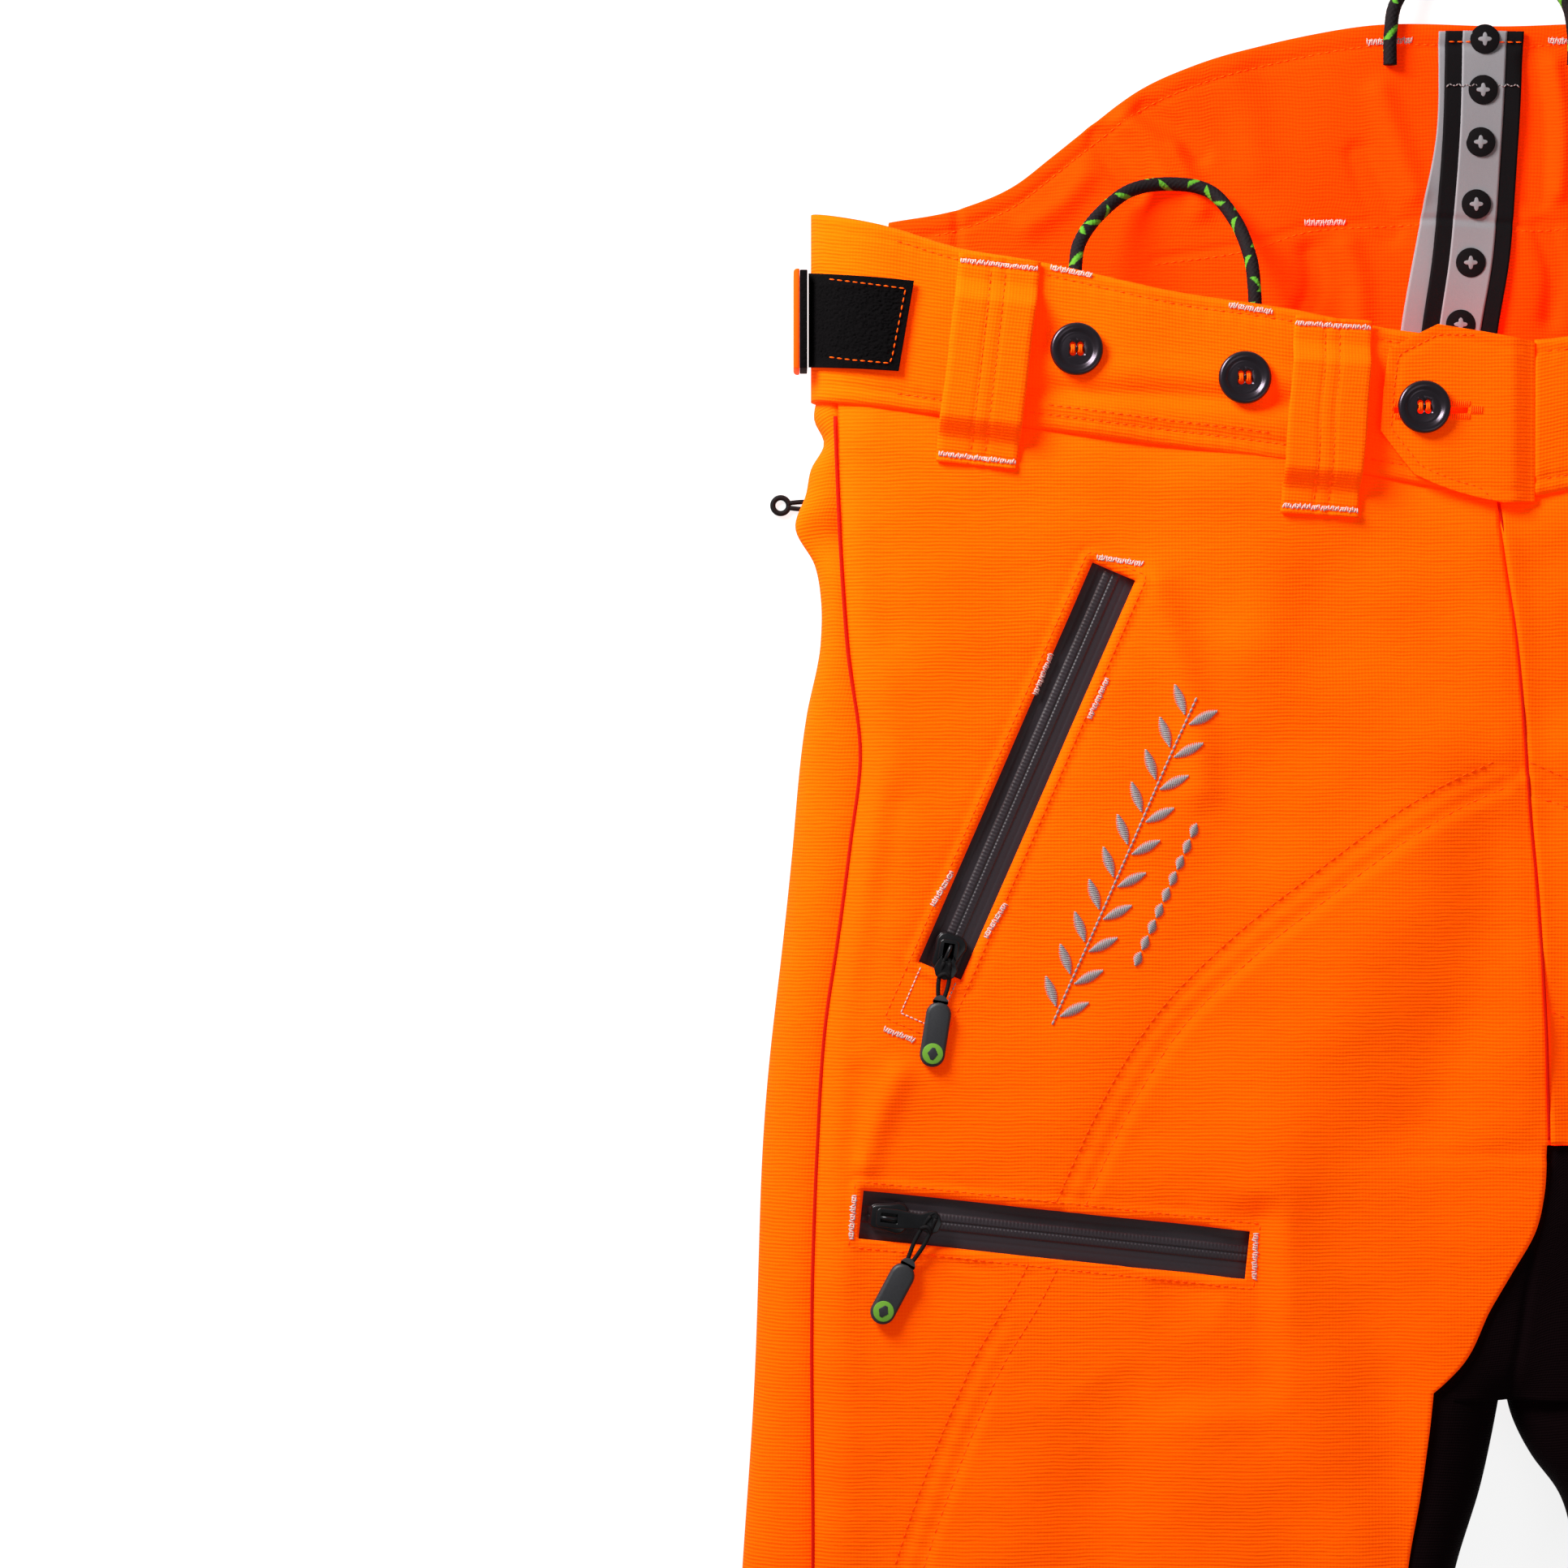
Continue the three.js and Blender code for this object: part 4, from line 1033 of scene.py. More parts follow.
def ribbon_strip(name, left, left_shift, right, right_shift, material, lift, cols):
    y = np.linspace(468, 600.5, 150)[:, None]
    a, b = smooth(left, y) + left_shift, smooth(right, y) + right_shift
    x = a + (b - a) * np.linspace(0, 1, cols)[None, :]
    yy = np.broadcast_to(y, x.shape)
    points = np.stack([x, yy, ribbon_height(x, yy) + lift], -1)
    return thicken(grid_piece(name, points, material), 0.9)


ribbon_parts = [
    ribbon_strip("ribbon_edges", RIBBON_LEFT, 0, RIBBON_RIGHT, 0, BLACK_TRIM, 0.0, 30),
    ribbon_strip("ribbon_centre", RIBBON_LEFT, RIBBON_EDGE, RIBBON_RIGHT, -RIBBON_EDGE,
                 RIBBON_GREY, 0.28, 20),
    ribbon_strip("ribbon_back_layer", RIBBON_REVERSE, 0, RIBBON_LEFT, 4.5, RIBBON_GREY, -0.9, 12)]


def lozenge(x, y, size, height, material):
    rim = []
    for k in range(32):
        a = 2 * math.pi * k / 32
        reach = size * (1.0 if size > 4 else 0.75 + 0.25 * math.cos(4 * a))
        rim.append((x + reach * math.cos(a), y + reach * math.sin(a)))
    return outline_solid("lozenge", rim, height, height + 0.35, material, "trousers", 0.1)


for y in RIBBON_MOTIFS:
    x = float((smooth(RIBBON_LEFT, y) + smooth(RIBBON_RIGHT, y)) / 2)
    ribbon_parts.append(lozenge(x, y, 5.4, float(ribbon_height(x, y)) + 0.35, BLACK_TRIM))
    ribbon_parts.append(lozenge(x, y, 2.5, float(ribbon_height(x, y)) + 0.55, RIBBON_GREY))
ribbon_weave = join_meshes("ribbon_woven_pattern", [ribbon_parts[1]] + ribbon_parts[3:], "trousers")
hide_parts("hanger_ribbon")

# %% [markdown]
# ## Buttons
# The buttons are turned metal with a raised rim and four holes. The rim is lathed and the holes are cut
# through, and two bars of orange thread join them.

# %% Turned buttons with sewn thread
BUTTON_PROFILE = [(0.0, 0.1), (6.6, 0.1), (8.2, 0.25), (9.2, 0.9), (9.45, 1.7), (9.2, 2.5), (8.5, 2.95),
                  (7.7, 2.95), (6.9, 2.55), (6.3, 2.0), (5.7, 1.75), (5.2, 1.8), (4.7, 1.95), (0.0, 1.95)]
HOLE_RADIUS = 1.15
HOLE_AT = 1.9


def lathe(name, profile, steps, material, body):
    verts, faces = [], []
    rings = [p for p in profile if p[0] > 0]
    for r, z in rings:
        for k in range(steps):
            a = 2 * math.pi * k / steps
            verts.append((r * math.cos(a), r * math.sin(a), z))
    for i in range(len(rings) - 1):
        for k in range(steps):
            m = (k + 1) % steps
            faces.append((i * steps + k, i * steps + m, (i + 1) * steps + m, (i + 1) * steps + k))
    faces.append(list(range(steps))[::-1])
    faces.append([(len(rings) - 1) * steps + k for k in range(steps)])
    return finish_mesh(name, verts, faces, material, None, body)


def tube(name, route, radius, material, body, sides=8):
    path = np.asarray(route, float)
    ahead = np.gradient(path, axis=0)
    ahead /= np.linalg.norm(ahead, axis=1)[:, None]
    up = np.array([0.0, 0.0, 1.0])
    verts = []
    for p, t in zip(path, ahead):
        side = np.cross(t, up)
        if np.linalg.norm(side) < 0.05:
            side = np.cross(t, np.array([1.0, 0, 0]))
        side /= np.linalg.norm(side)
        top = np.cross(side, t)
        for k in range(sides):
            a = 2 * math.pi * k / sides
            verts.append(p + radius * (math.cos(a) * side + math.sin(a) * top))
    faces = grid_faces(len(path), sides, wrap=True, flip=True).tolist()
    faces.append(list(range(sides)))
    last = (len(path) - 1) * sides
    faces.append([last + k for k in range(sides)][::-1])
    return finish_mesh(name, verts, faces, material, None, body)


def button(node, body):
    low, high = node_box(node)
    centre = (low + high) / 2
    disc = lathe("button", BUTTON_PROFILE, 56, GUNMETAL, body)
    cutters = []
    for k in range(4):
        a = math.pi / 4 + k * math.pi / 2
        hole = lathe("hole", [(HOLE_RADIUS, -2), (HOLE_RADIUS, 5)], 16, HOLE, body)
        hole.data.transform(Matrix.Translation((HOLE_AT * math.cos(a) * MM, HOLE_AT * math.sin(a) * MM, 0)))
        cut = disc.modifiers.new("Hole", "BOOLEAN")
        cut.object = hole
        cut.solver = "EXACT"
        cutters.append(hole)
    mesh = baked_mesh(disc)
    for extra in cutters + [disc]:
        bpy.data.objects.remove(extra)
    disc = add_object("disc", mesh)
    h = HOLE_AT * math.cos(math.pi / 4)
    parts = [disc]
    for x in (-h, h):
        for shift in (-0.32, 0.32):
            t = np.linspace(0, 1, 9)
            route = np.stack([x + shift + 0 * t, -h + 2 * h * t, 1.3 + 1.1 * np.sin(math.pi * t)], 1)
            parts.append(tube("thread", route, 0.46, THREAD, body, 6))
    whole = join_meshes(f"{node}_turned", parts, body)
    whole.data.transform(Matrix.Translation(Vector((centre[0], centre[1], low[2])) * MM))
    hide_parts(node)
    return whole


buttons = [button(f"brace_button_{kind}_{side}", "trousers") for kind in ("outer", "inner")
           for side in ("right", "left")]
buttons.append(button("waist_button", "trousers"))
print("buttons:", [b.name for b in buttons])

# %% [markdown]
# ## Zips
# Each zip is a coated tape behind its opening, with the coil's teeth as fine ridges along the middle.
# The slider and its pull are separate, because they move: everything that moves with the slider is
# built round the box of the slider's own node.

# %% Coated tapes with coil ridges
COIL_HALF = 3.0
TOOTH_PITCH = 1.35


def coil_relief(along, across):
    side = np.sign(across) * 0.5
    ridge = np.clip(1 - (np.abs(across) / COIL_HALF) ** 2, 0, 1) ** 0.4
    teeth = 0.5 + 0.5 * np.cos(2 * math.pi * (along / TOOTH_PITCH + side))
    groove = bell(across, 0, 0.35)
    edge = bell(np.abs(across), 5.6, 0.5)
    return ridge * (0.62 + 0.2 * teeth) - 0.45 * groove - 0.12 * edge


def zip_tape(node, zipper, top, half_width, spare, flip=False):
    start, way, length = zip_frame(zipper)
    along = np.arange(-spare / 2, length + spare / 2, 0.33)[:, None]
    profile = np.concatenate([np.linspace(-half_width, -6.4, 7), np.linspace(-6, 6, 41),
                              np.linspace(6.4, half_width, 7)])
    across = profile[None, :]
    a, c = np.broadcast_arrays(along, across)
    place = start + a[..., None] * way + c[..., None] * np.array([-way[1], way[0]])
    lift = coil_relief(a, c) + 0.1 * waves(a, c, 91, 30, 1.0)
    z = top - lift if flip else top + lift
    points = np.concatenate([place, z[..., None]], -1)
    piece = grid_piece(f"{node}_coated", points, TAPE, flip=not flip)
    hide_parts(node)
    return thicken(piece, 1.0)


def mirrored_node(piece, node, body):
    copy = mirror_piece(piece, piece.name.replace("_right", "_left"), body)
    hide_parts(node.replace("_right", "_left"))
    return copy


tapes = []
for node, zipper in (("hand_zip_tape_right", HAND_ZIP), ("thigh_zip_tape_right", THIGH_ZIP)):
    tape = zip_tape(node, zipper, TAPE_TOP, 13.9, 6)
    tapes += [tape, mirrored_node(tape, node, "trousers")]
rear_bottom = rear_tape[0][2] + 0.8
rear = zip_tape("rear_zip_tape_right", {"end": (-237 + 4, REAR_Y), "towards": (-97, REAR_Y), "width": 15},
                rear_bottom, 13.9, 0, flip=True)
tapes += [rear, mirrored_node(rear, "rear_zip_tape_right", "trousers")]
print("tapes:", len(tapes))

# %% Sliders, tabs, cords and rubber grips
SLIDER_OUTLINE = [(-6.8, -3.4), (-5.6, -4.2), (0, -5.0), (3.2, -5.8), (5.4, -5.2), (6.8, -3.4), (6.8, 3.4),
                  (5.4, 5.2), (3.2, 5.8), (0, 5.0), (-5.6, 4.2), (-6.8, 3.4)]


def placed(piece, x, y, z, angle):
    piece.data.transform(Matrix.Translation(Vector((x, y, z)) * MM) @ Matrix.Rotation(angle, 4, "Z"))
    return piece


def slider(node, body, x, y, angle):
    low = node_box(node)[0][2]
    bottom = outline_solid("slider_plate", SLIDER_OUTLINE, 0.0, 1.5, SLIDER, body, 0.4)
    crown = [(px * 0.97, py * 0.97) for px, py in SLIDER_OUTLINE]
    top = outline_solid("slider_crown", crown, 2.2, 4.0, SLIDER, body, 0.7)
    post = [(1, -1.3), (6, -1.3), (6, 1.3), (1, 1.3)]
    neck = outline_solid("slider_neck", post, 1.2, 2.6, SLIDER, body, 0.2)
    t = np.linspace(0, math.pi, 15)
    arch = np.stack([-1.7 * np.cos(t) * 1.9, 0 * t, 3.3 + 3.0 * np.sin(t) ** 0.7], 1)
    bridge = tube("bridge", arch, 0.75, SLIDER, body, 10)
    whole = join_meshes(f"{node}_cast", [bottom, top, neck, bridge], body)
    placed(whole, x, y, low, angle)
    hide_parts(node)
    return whole


def stadium(left, right, width):
    r = width / 2
    turns = np.linspace(-math.pi / 2, math.pi / 2, 13)
    half = [(right - r + r * math.cos(a), r * math.sin(a)) for a in turns]
    return half + [(left + right - x, -y) for x, y in half]


PLATE_BEVEL = 0.35


def frame_plate(name, outer, hole, low, high, material, body):
    plate = outline_solid(name, outer, low, high, material, body, 0)
    plate.modifiers.clear()
    cutter = outline_solid("cutter", hole, low - 1, high + 1, material, body, 0)
    cutter.modifiers.clear()
    cut = plate.modifiers.new("Hole", "BOOLEAN")
    cut.object = cutter
    cut.solver = "EXACT"
    mesh = baked_mesh(plate)
    for extra in (plate, cutter):
        bpy.data.objects.remove(extra)
    made = add_object(name, mesh)
    return rounded(made, PLATE_BEVEL, 40)


def pull_tab(length, body):
    eye = [(-3.0, -1.6), (3.0, -1.6), (3.0, 1.6), (-3.0, 1.6)]
    lower = [(-4.6, -2.4), (-3.6, -3.4), (3, -3.4), (length - 8, -2.6), (length - 4, -4.3),
             (length - 1.2, -3.2)]
    shape = lower + [(length, 0)] + [(x, -y) for x, y in lower[::-1]]
    return frame_plate("tab", shape, eye, 0.0, 1.5, SLIDER, body), length - 4.2


GRIP_LENGTH = 23.5
STRAND_RADIUS = 0.78


def grip_and_cord(cord_length, body):
    parts = []
    shape = stadium(cord_length, cord_length + GRIP_LENGTH, 9)
    parts.append(outline_solid("grip", shape, -0.9, 2.9, RUBBER, body, 1.3))
    end = cord_length + GRIP_LENGTH - 4.9
    disc = [(end + 3.7 * math.cos(a), 3.7 * math.sin(a)) for a in np.linspace(0, 2 * math.pi, 29)[:-1]]
    parts.append(outline_solid("disc", disc, 2.7, 3.15, GREEN, body, 0.12))
    mark = [(end - 2.2, -0.5), (end, -1.9), (end + 2.2, -0.5), (end + 2.2, 0.5), (end, 1.9), (end - 2.2, 0.5)]
    parts.append(outline_solid("mark", mark, 3.1, 3.3, RUBBER, body, 0.08))
    collar = stadium(cord_length - 2.4, cord_length + 2.5, 5.4)
    parts.append(outline_solid("collar", collar, -0.2, 2.2, RUBBER, body, 0.8))
    for sign in (-1, 1):
        t = np.linspace(0, 1, 22)
        x = -2.2 + (cord_length + 1.5 + 2.2) * t
        y = sign * (1.0 + 0.9 * np.sin(math.pi * np.clip(t * 1.15, 0, 1)) - 0.2 * t)
        z = 0.9 + 0.9 * bell(t, 0.04, 0.1) + 0.15 * sign
        parts.append(tube("strand", np.stack([x, y, z], 1), STRAND_RADIUS, CORD_BLACK, body, 8))
    t = np.linspace(0, math.pi, 14)
    loop = np.stack([-2.2 - 1.5 * np.sin(t), 1.15 * np.cos(t), 1.0 - 0.1 * np.sin(t)], 1)
    parts.append(tube("loop", loop, STRAND_RADIUS, CORD_BLACK, body, 8))
    knot = np.stack([2.6 + 0.7 * np.cos(2 * t), 1.9 * np.cos(t), 1.0 + 1.0 * np.sin(t)], 1)
    parts.append(tube("knot", knot, 0.8, CORD_BLACK, body, 8))
    return parts


HAND_SLIDER_AT, THIGH_SLIDER_AT = 7.2, 10.0
HAND_PULL_ANGLE, THIGH_CORD_ANGLE = -1.726, -2.06


def zip_angle(zipper):
    (x0, y0), (x1, y1) = zipper["end"], zipper["towards"]
    return math.atan2(y1 - y0, x1 - x0)


def pull(node, body, x, y, tab_length, cord_length, tab_angle, cord_angle):
    low = node_box(node)[0][2] + 0.9
    tab, ring = pull_tab(tab_length, body)
    parts = grip_and_cord(cord_length, body)
    turn = cord_angle - tab_angle
    for part in parts:
        placed(part, ring, 0, 0, turn)
    whole = join_meshes(f"{node}_moulded", [tab] + parts, body)
    placed(whole, x, y, low, tab_angle)
    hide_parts(node)
    return whole


pulls = []
hand_x, hand_y = zip_place(HAND_ZIP, HAND_SLIDER_AT)
thigh_x, thigh_y = zip_place(THIGH_ZIP, THIGH_SLIDER_AT)
hand_angle, thigh_angle = zip_angle(HAND_ZIP), zip_angle(THIGH_ZIP)
for kind, x, y, angle in (("hand", hand_x, hand_y, hand_angle), ("thigh", thigh_x, thigh_y, thigh_angle)):
    node = f"{kind}_zip_slider_right"
    cast = slider(node, f"{kind}_slider_right", x, y, angle)
    pulls += [cast, mirrored_node(cast, node, f"{kind}_slider_left")]
hand_pull = pull("hand_zip_pull_right", "hand_pull_right", hand_x, hand_y, 10, 12, HAND_PULL_ANGLE,
                 HAND_PULL_ANGLE)
thigh_pull = pull("thigh_zip_pull_right", "thigh_pull_right", thigh_x, thigh_y, 19, 17, thigh_angle,
                  THIGH_CORD_ANGLE)
pulls += [hand_pull, mirrored_node(hand_pull, "hand_zip_pull_right", "hand_pull_left"),
          thigh_pull, mirrored_node(thigh_pull, "thigh_zip_pull_right", "thigh_pull_left")]

# %% Rear cord rings
def rear_ring():
    low, high = node_box("rear_zip_pull_right")
    z = (low[2] + high[2]) / 2
    t = np.linspace(0, 2 * math.pi, 41)
    x0 = low[0] + 4.1
    ring = np.stack([x0 + 2.9 * np.cos(t), REAR_Y + 2.9 * np.sin(t), z + 0 * t], 1)
    parts = [tube("ring", ring, 1.0, CORD_BLACK, "rear_slider_right", 10)]
    for sign in (-1, 1):
        s = np.linspace(0, 1, 16)
        spread = sign * (0.85 + 0.5 * np.sin(6 * s))
        route = np.stack([x0 + 2.9 + 23 * s, REAR_Y + spread, z + 0.1 * np.sin(9 * s)], 1)
        parts.append(tube("tail", route, 0.85, CORD_BLACK, "rear_slider_right", 8))
    whole = join_meshes("rear_zip_pull_right_tied", parts, "rear_slider_right")
    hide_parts("rear_zip_pull_right")
    return whole


ring = rear_ring()
pulls += [ring, mirrored_node(ring, "rear_zip_pull_right", "rear_slider_left")]
print("sliders and pulls:", len(pulls))

# %% [markdown]
# ## Painted shadow lines
# Where two panels meet, the edge of the upper one shades the lower one and the dye looks deep red in
# the gap. That shade is painted: a thin glowing deep red tube lies along the side crease and under the fly
# flap.

# %% Painted shadow lines along the crease and the fly
# A glowing deep red material for the tubes that paint the shadow line into the crease and fly gap.
PAINTED_SHADOW_RED = glowing(grained("deep_red_seam_edge", (0.55, 0.012, 0.0), 0.9, 1500, 0.1), (1.0, 0.0, 0.0), 0.3)
for side in ("right", "left"):
    sign = SIGN[side]
    ys = np.linspace(HEM + 1, 458, 260)
    edge_x = sign * (smooth(CREASE, ys) + 0.25)
    edge_z = front_height(sign * (smooth(CREASE, ys) - 0.3), ys, side) - 0.5
    tube(f"side_seam_edge_{side}", np.stack([edge_x, ys, edge_z], 1), 0.75, PAINTED_SHADOW_RED, "trousers", 8)
ys = np.linspace(GUSSET_TOP + 2, 431, 130)
fly_x = smooth(CENTRE, ys) - 0.35
tube("fly_seam_edge", np.stack([fly_x, ys, front_height(fly_x - 1.5, ys, "right") + 0.1], 1), 0.6, PAINTED_SHADOW_RED,
     "trousers", 8)

# %% [markdown]
# ## Hook and loop, and brace cords
# The soft loop patch follows the roll of the waistband. Its pile is a dense random relief. The brace
# cords are braided: two sets of strands cross each other, and a few of them are green.

# %% Loop patch and hook tab
def patch_edge(v):
    inner = -213.3 + (-218.8 + 213.3) * v
    return inner, 505.5 + (473.3 - 505.5) * v, 510.2 + (476.2 - 510.2) * v


def loop_patch():
    v = np.linspace(0, 1, 92)[:, None]
    u = np.linspace(0, 1, 84)[None, :]
    inner, y_in, y_out = patch_edge(v)
    reach = -(BAND_EDGE + inner)
    arc = (BAND_HALF + 2 - BAND_EDGE) * 1.25
    run = u * (-reach + arc) + reach
    turn = np.clip(run / arc, 0, 1) * 1.35
    x = np.where(run < 0, -BAND_EDGE - run, -(BAND_EDGE + (BAND_HALF + 1.6 - BAND_EDGE) * np.sin(turn)))
    zc = BAND_TOP / 2
    z = np.where(run < 0, BAND_TOP + 1.6, zc + (zc + 1.6) * np.cos(turn))
    y = y_in + (y_out - y_in) * u + 0 * x
    rng = np.random.default_rng(17)
    inside = np.minimum(np.minimum(u, 1 - u) * 36, np.minimum(v, 1 - v) * 32) > 3.2
    z = z + np.where(inside, rng.uniform(-0.25, 0.55, x.shape), 0.1)
    piece = grid_piece("loop_patch_pile_right", np.stack([x, y, z], -1), PILE, flip=False)
    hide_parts("loop_patch_right")
    thicken(piece, 1.0)
    return piece


patch = loop_patch()
mirrored_node(patch, "loop_patch_right", "trousers")
hook_low, hook_high = node_box("hook_tab_right")


def hook_tab():
    x0, x1 = hook_low[0], hook_high[0]
    y0, y1 = hook_low[1], hook_high[1]
    outer = [(x0, y0 + 0.8), (x0 + 0.8, y0), (x0 + 2.2, y0), (x0 + 2.2, y1), (x0 + 0.8, y1), (x0, y1 - 0.8)]
    inner = [(x0 + 2.3, y0 + 0.4), (x1 + 1.5, y0 + 0.4), (x1 + 1.5, y1 - 0.4), (x0 + 2.3, y1 - 0.4)]
    body = "hook_flap_right"
    parts = [outline_solid("strap", outer, hook_low[2], hook_high[2], HOOK_ORANGE, body, 0.5),
             outline_solid("hooks", inner, hook_low[2] + 0.6, hook_high[2] - 0.3, PILE, body, 0.3)]
    whole = join_meshes("hook_tab_strap_right", parts, body)
    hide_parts("hook_tab_right")
    return whole


# The strap orange carries the same painted red glow as the cloth.
HOOK_ORANGE = glowing(grained("strap_orange", (1.0, 0.13, 0.0), 0.8, 1500, 0.1, dark=0.85),
                      (1.0, 0.01, 0.0), 0.4)
hook = hook_tab()
mirrored_node(hook, "hook_tab_right", "hook_flap_left")

# %% Braided brace cords with green flecks
BRACE_CORD = [(-155, 503, 34.3), (-155, 513, 32), (-152.8, 522, 27), (-145.5, 532.2, 20), (-133.9, 541.7, 13),
              (-119.4, 544.6, 9.6), (-104.9, 541.7, 11), (-96.2, 530.1, 18), (-91.9, 516.2, 27),
              (-90.9, 504, 32.5), (-90.7, 492, 34.3)]
BACK_CORD = [(-39, 588, 9.4), (-38.8, 600, 9.5), (-36, 612, 8), (-24, 626, 4), (-5.5, 632, 3), (13, 626, 4),
             (25, 612, 8), (27.8, 600, 9.5), (28, 588, 9.4)]
CORD_RADIUS = 2.5
STRANDS = 8
BRAID_TURN = 0.36

BRAID = grained("braided_cord", (0.018, 0.013, 0.014), 0.75, 2200, 0.15)
fleck = add_node(BRAID, "ShaderNodeAttribute", attribute_name="green").outputs["Fac"]
color_mix(BRAID, fleck, (0.014, 0.01, 0.011), (0.12, 0.42, 0.03))


def catmull(route, count):
    p = np.asarray(route, float)
    p = np.concatenate([[2 * p[0] - p[1]], p, [2 * p[-1] - p[-2]]])
    out = []
    for i in range(1, len(p) - 2):
        t = np.linspace(0, 1, count, endpoint=False)[:, None]
        a, b, c, d = p[i - 1], p[i], p[i + 1], p[i + 2]
        out.append(0.5 * (2 * b + (c - a) * t + (2 * a - 5 * b + 4 * c - d) * t**2
                          + (3 * b - a - 3 * c + d) * t**3))
    return np.concatenate(out + [p[-2:-1]])


def braided(node, route):
    fine = catmull(route, 60)
    along = np.concatenate([[0], np.cumsum(np.linalg.norm(np.diff(fine, axis=0), axis=1))])
    length = along[-1]
    s = np.arange(0, length, 0.3)
    line = np.stack([np.interp(s, along, fine[:, k]) for k in range(3)], 1)
    ahead = np.gradient(line, axis=0)
    ahead /= np.linalg.norm(ahead, axis=1)[:, None]
    side = np.cross(ahead, (0, 0, 1.0))
    side /= np.linalg.norm(side, axis=1)[:, None]
    top = np.cross(side, ahead)
    turn = np.linspace(0, 2 * math.pi, 40, endpoint=False)[None, :]
    a1 = STRANDS * (turn + BRAID_TURN * s[:, None]) / 2
    a2 = STRANDS * (turn - BRAID_TURN * s[:, None]) / 2
    over = np.sin(a1) * np.sin(a2)
    relief = np.where(over > 0, np.abs(np.cos(a1)), np.abs(np.cos(a2)))
    radius = CORD_RADIUS - 0.32 + 0.34 * relief
    green = (np.cos(turn + BRAID_TURN * s[:, None] + 0.7) > 0.86) & (np.mod(s[:, None], 9.0) < 5.4)
    green = green | ((np.cos(turn - BRAID_TURN * s[:, None]) > 0.9) & (np.mod(s[:, None] + 4, 13.0) < 4))
    points = line[:, None] + radius[..., None] * (np.cos(turn)[..., None] * side[:, None]
                                                   + np.sin(turn)[..., None] * top[:, None])
    rows, cols = points.shape[:2]
    faces = grid_faces(rows, cols, wrap=True, flip=True).tolist()
    faces.append(list(range(cols)))
    faces.append([(rows - 1) * cols + k for k in range(cols)][::-1])
    piece = finish_mesh(f"{node}_braid", points.reshape(-1, 3), faces, BRAID, None, "trousers")
    layer = piece.data.attributes.new("green", "FLOAT", "POINT")
    layer.data.foreach_set("value", green.astype(float).ravel())
    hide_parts(node)
    print(node, "cord length", round(length, 1), "mm")


MIRRORED_CORD = [(-x, y, z) for x, y, z in BRACE_CORD]
for side, route in (("right", BRACE_CORD), ("left", MIRRORED_CORD), ("back", BACK_CORD)):
    braided(f"brace_cord_{side}", route)

# %% [markdown]
# ## Stitches
# Every visible stitch is a small thread dash that lies on the cloth below it. One Geometry Nodes tree
# places them: it takes the points of a run with a turn and a size, puts a rounded dash on each, and
# makes them real. Topstitching, tacks and embroidery differ only in the points they are given.

# %% The stitch tree
def stitch_tree():
    tree = bpy.data.node_groups.new("Stitches", "GeometryNodeTree")
    tree.interface.new_socket("Geometry", in_out="INPUT", socket_type="NodeSocketGeometry")
    thick = tree.interface.new_socket("Thread thickness", in_out="INPUT", socket_type="NodeSocketFloat")
    thick.default_value = 1.0
    colour = tree.interface.new_socket("Thread material", in_out="INPUT", socket_type="NodeSocketMaterial")
    tree.interface.new_socket("Geometry", in_out="OUTPUT", socket_type="NodeSocketGeometry")
    node = {}
    for key, kind, x, y in (("in", "NodeGroupInput", -700, 0),
                            ("turn", "GeometryNodeInputNamedAttribute", -500, -120),
                            ("size", "GeometryNodeInputNamedAttribute", -500, -300),
                            ("dash", "GeometryNodeMeshIcoSphere", -500, 200),
                            ("euler", "FunctionNodeEulerToRotation", -300, -120),
                            ("scale", "ShaderNodeVectorMath", -300, -300),
                            ("place", "GeometryNodeInstanceOnPoints", -100, 0),
                            ("real", "GeometryNodeRealizeInstances", 100, 0),
                            ("smooth", "GeometryNodeSetShadeSmooth", 250, 0),
                            ("paint", "GeometryNodeSetMaterial", 400, 0), ("out", "NodeGroupOutput", 600, 0)):
        node[key] = tree.nodes.new(kind)
        node[key].location = (x, y)
        node[key].label = key
    for key in ("turn", "size"):
        node[key].data_type = "FLOAT_VECTOR"
        node[key].inputs["Name"].default_value = key
    node["dash"].inputs["Radius"].default_value = 1.0
    node["dash"].inputs["Subdivisions"].default_value = 1
    node["scale"].operation = "SCALE"
    link = tree.links.new
    link(node["in"].outputs["Geometry"], node["place"].inputs["Points"])
    link(node["dash"].outputs["Mesh"], node["place"].inputs["Instance"])
    link(node["turn"].outputs["Attribute"], node["euler"].inputs[0])
    link(node["euler"].outputs[0], node["place"].inputs["Rotation"])
    link(node["size"].outputs["Attribute"], node["scale"].inputs[0])
    link(node["in"].outputs["Thread thickness"], node["scale"].inputs["Scale"])
    link(node["scale"].outputs[0], node["place"].inputs["Scale"])
    link(node["place"].outputs["Instances"], node["real"].inputs[0])
    link(node["real"].outputs[0], node["smooth"].inputs[0])
    link(node["smooth"].outputs[0], node["paint"].inputs["Geometry"])
    link(node["in"].outputs["Thread material"], node["paint"].inputs["Material"])
    link(node["paint"].outputs[0], node["out"].inputs[0])
    return tree, thick.identifier, colour.identifier


STITCHES, THICK_INPUT, COLOUR_INPUT = stitch_tree()
THREAD_THICKNESS = 1.0


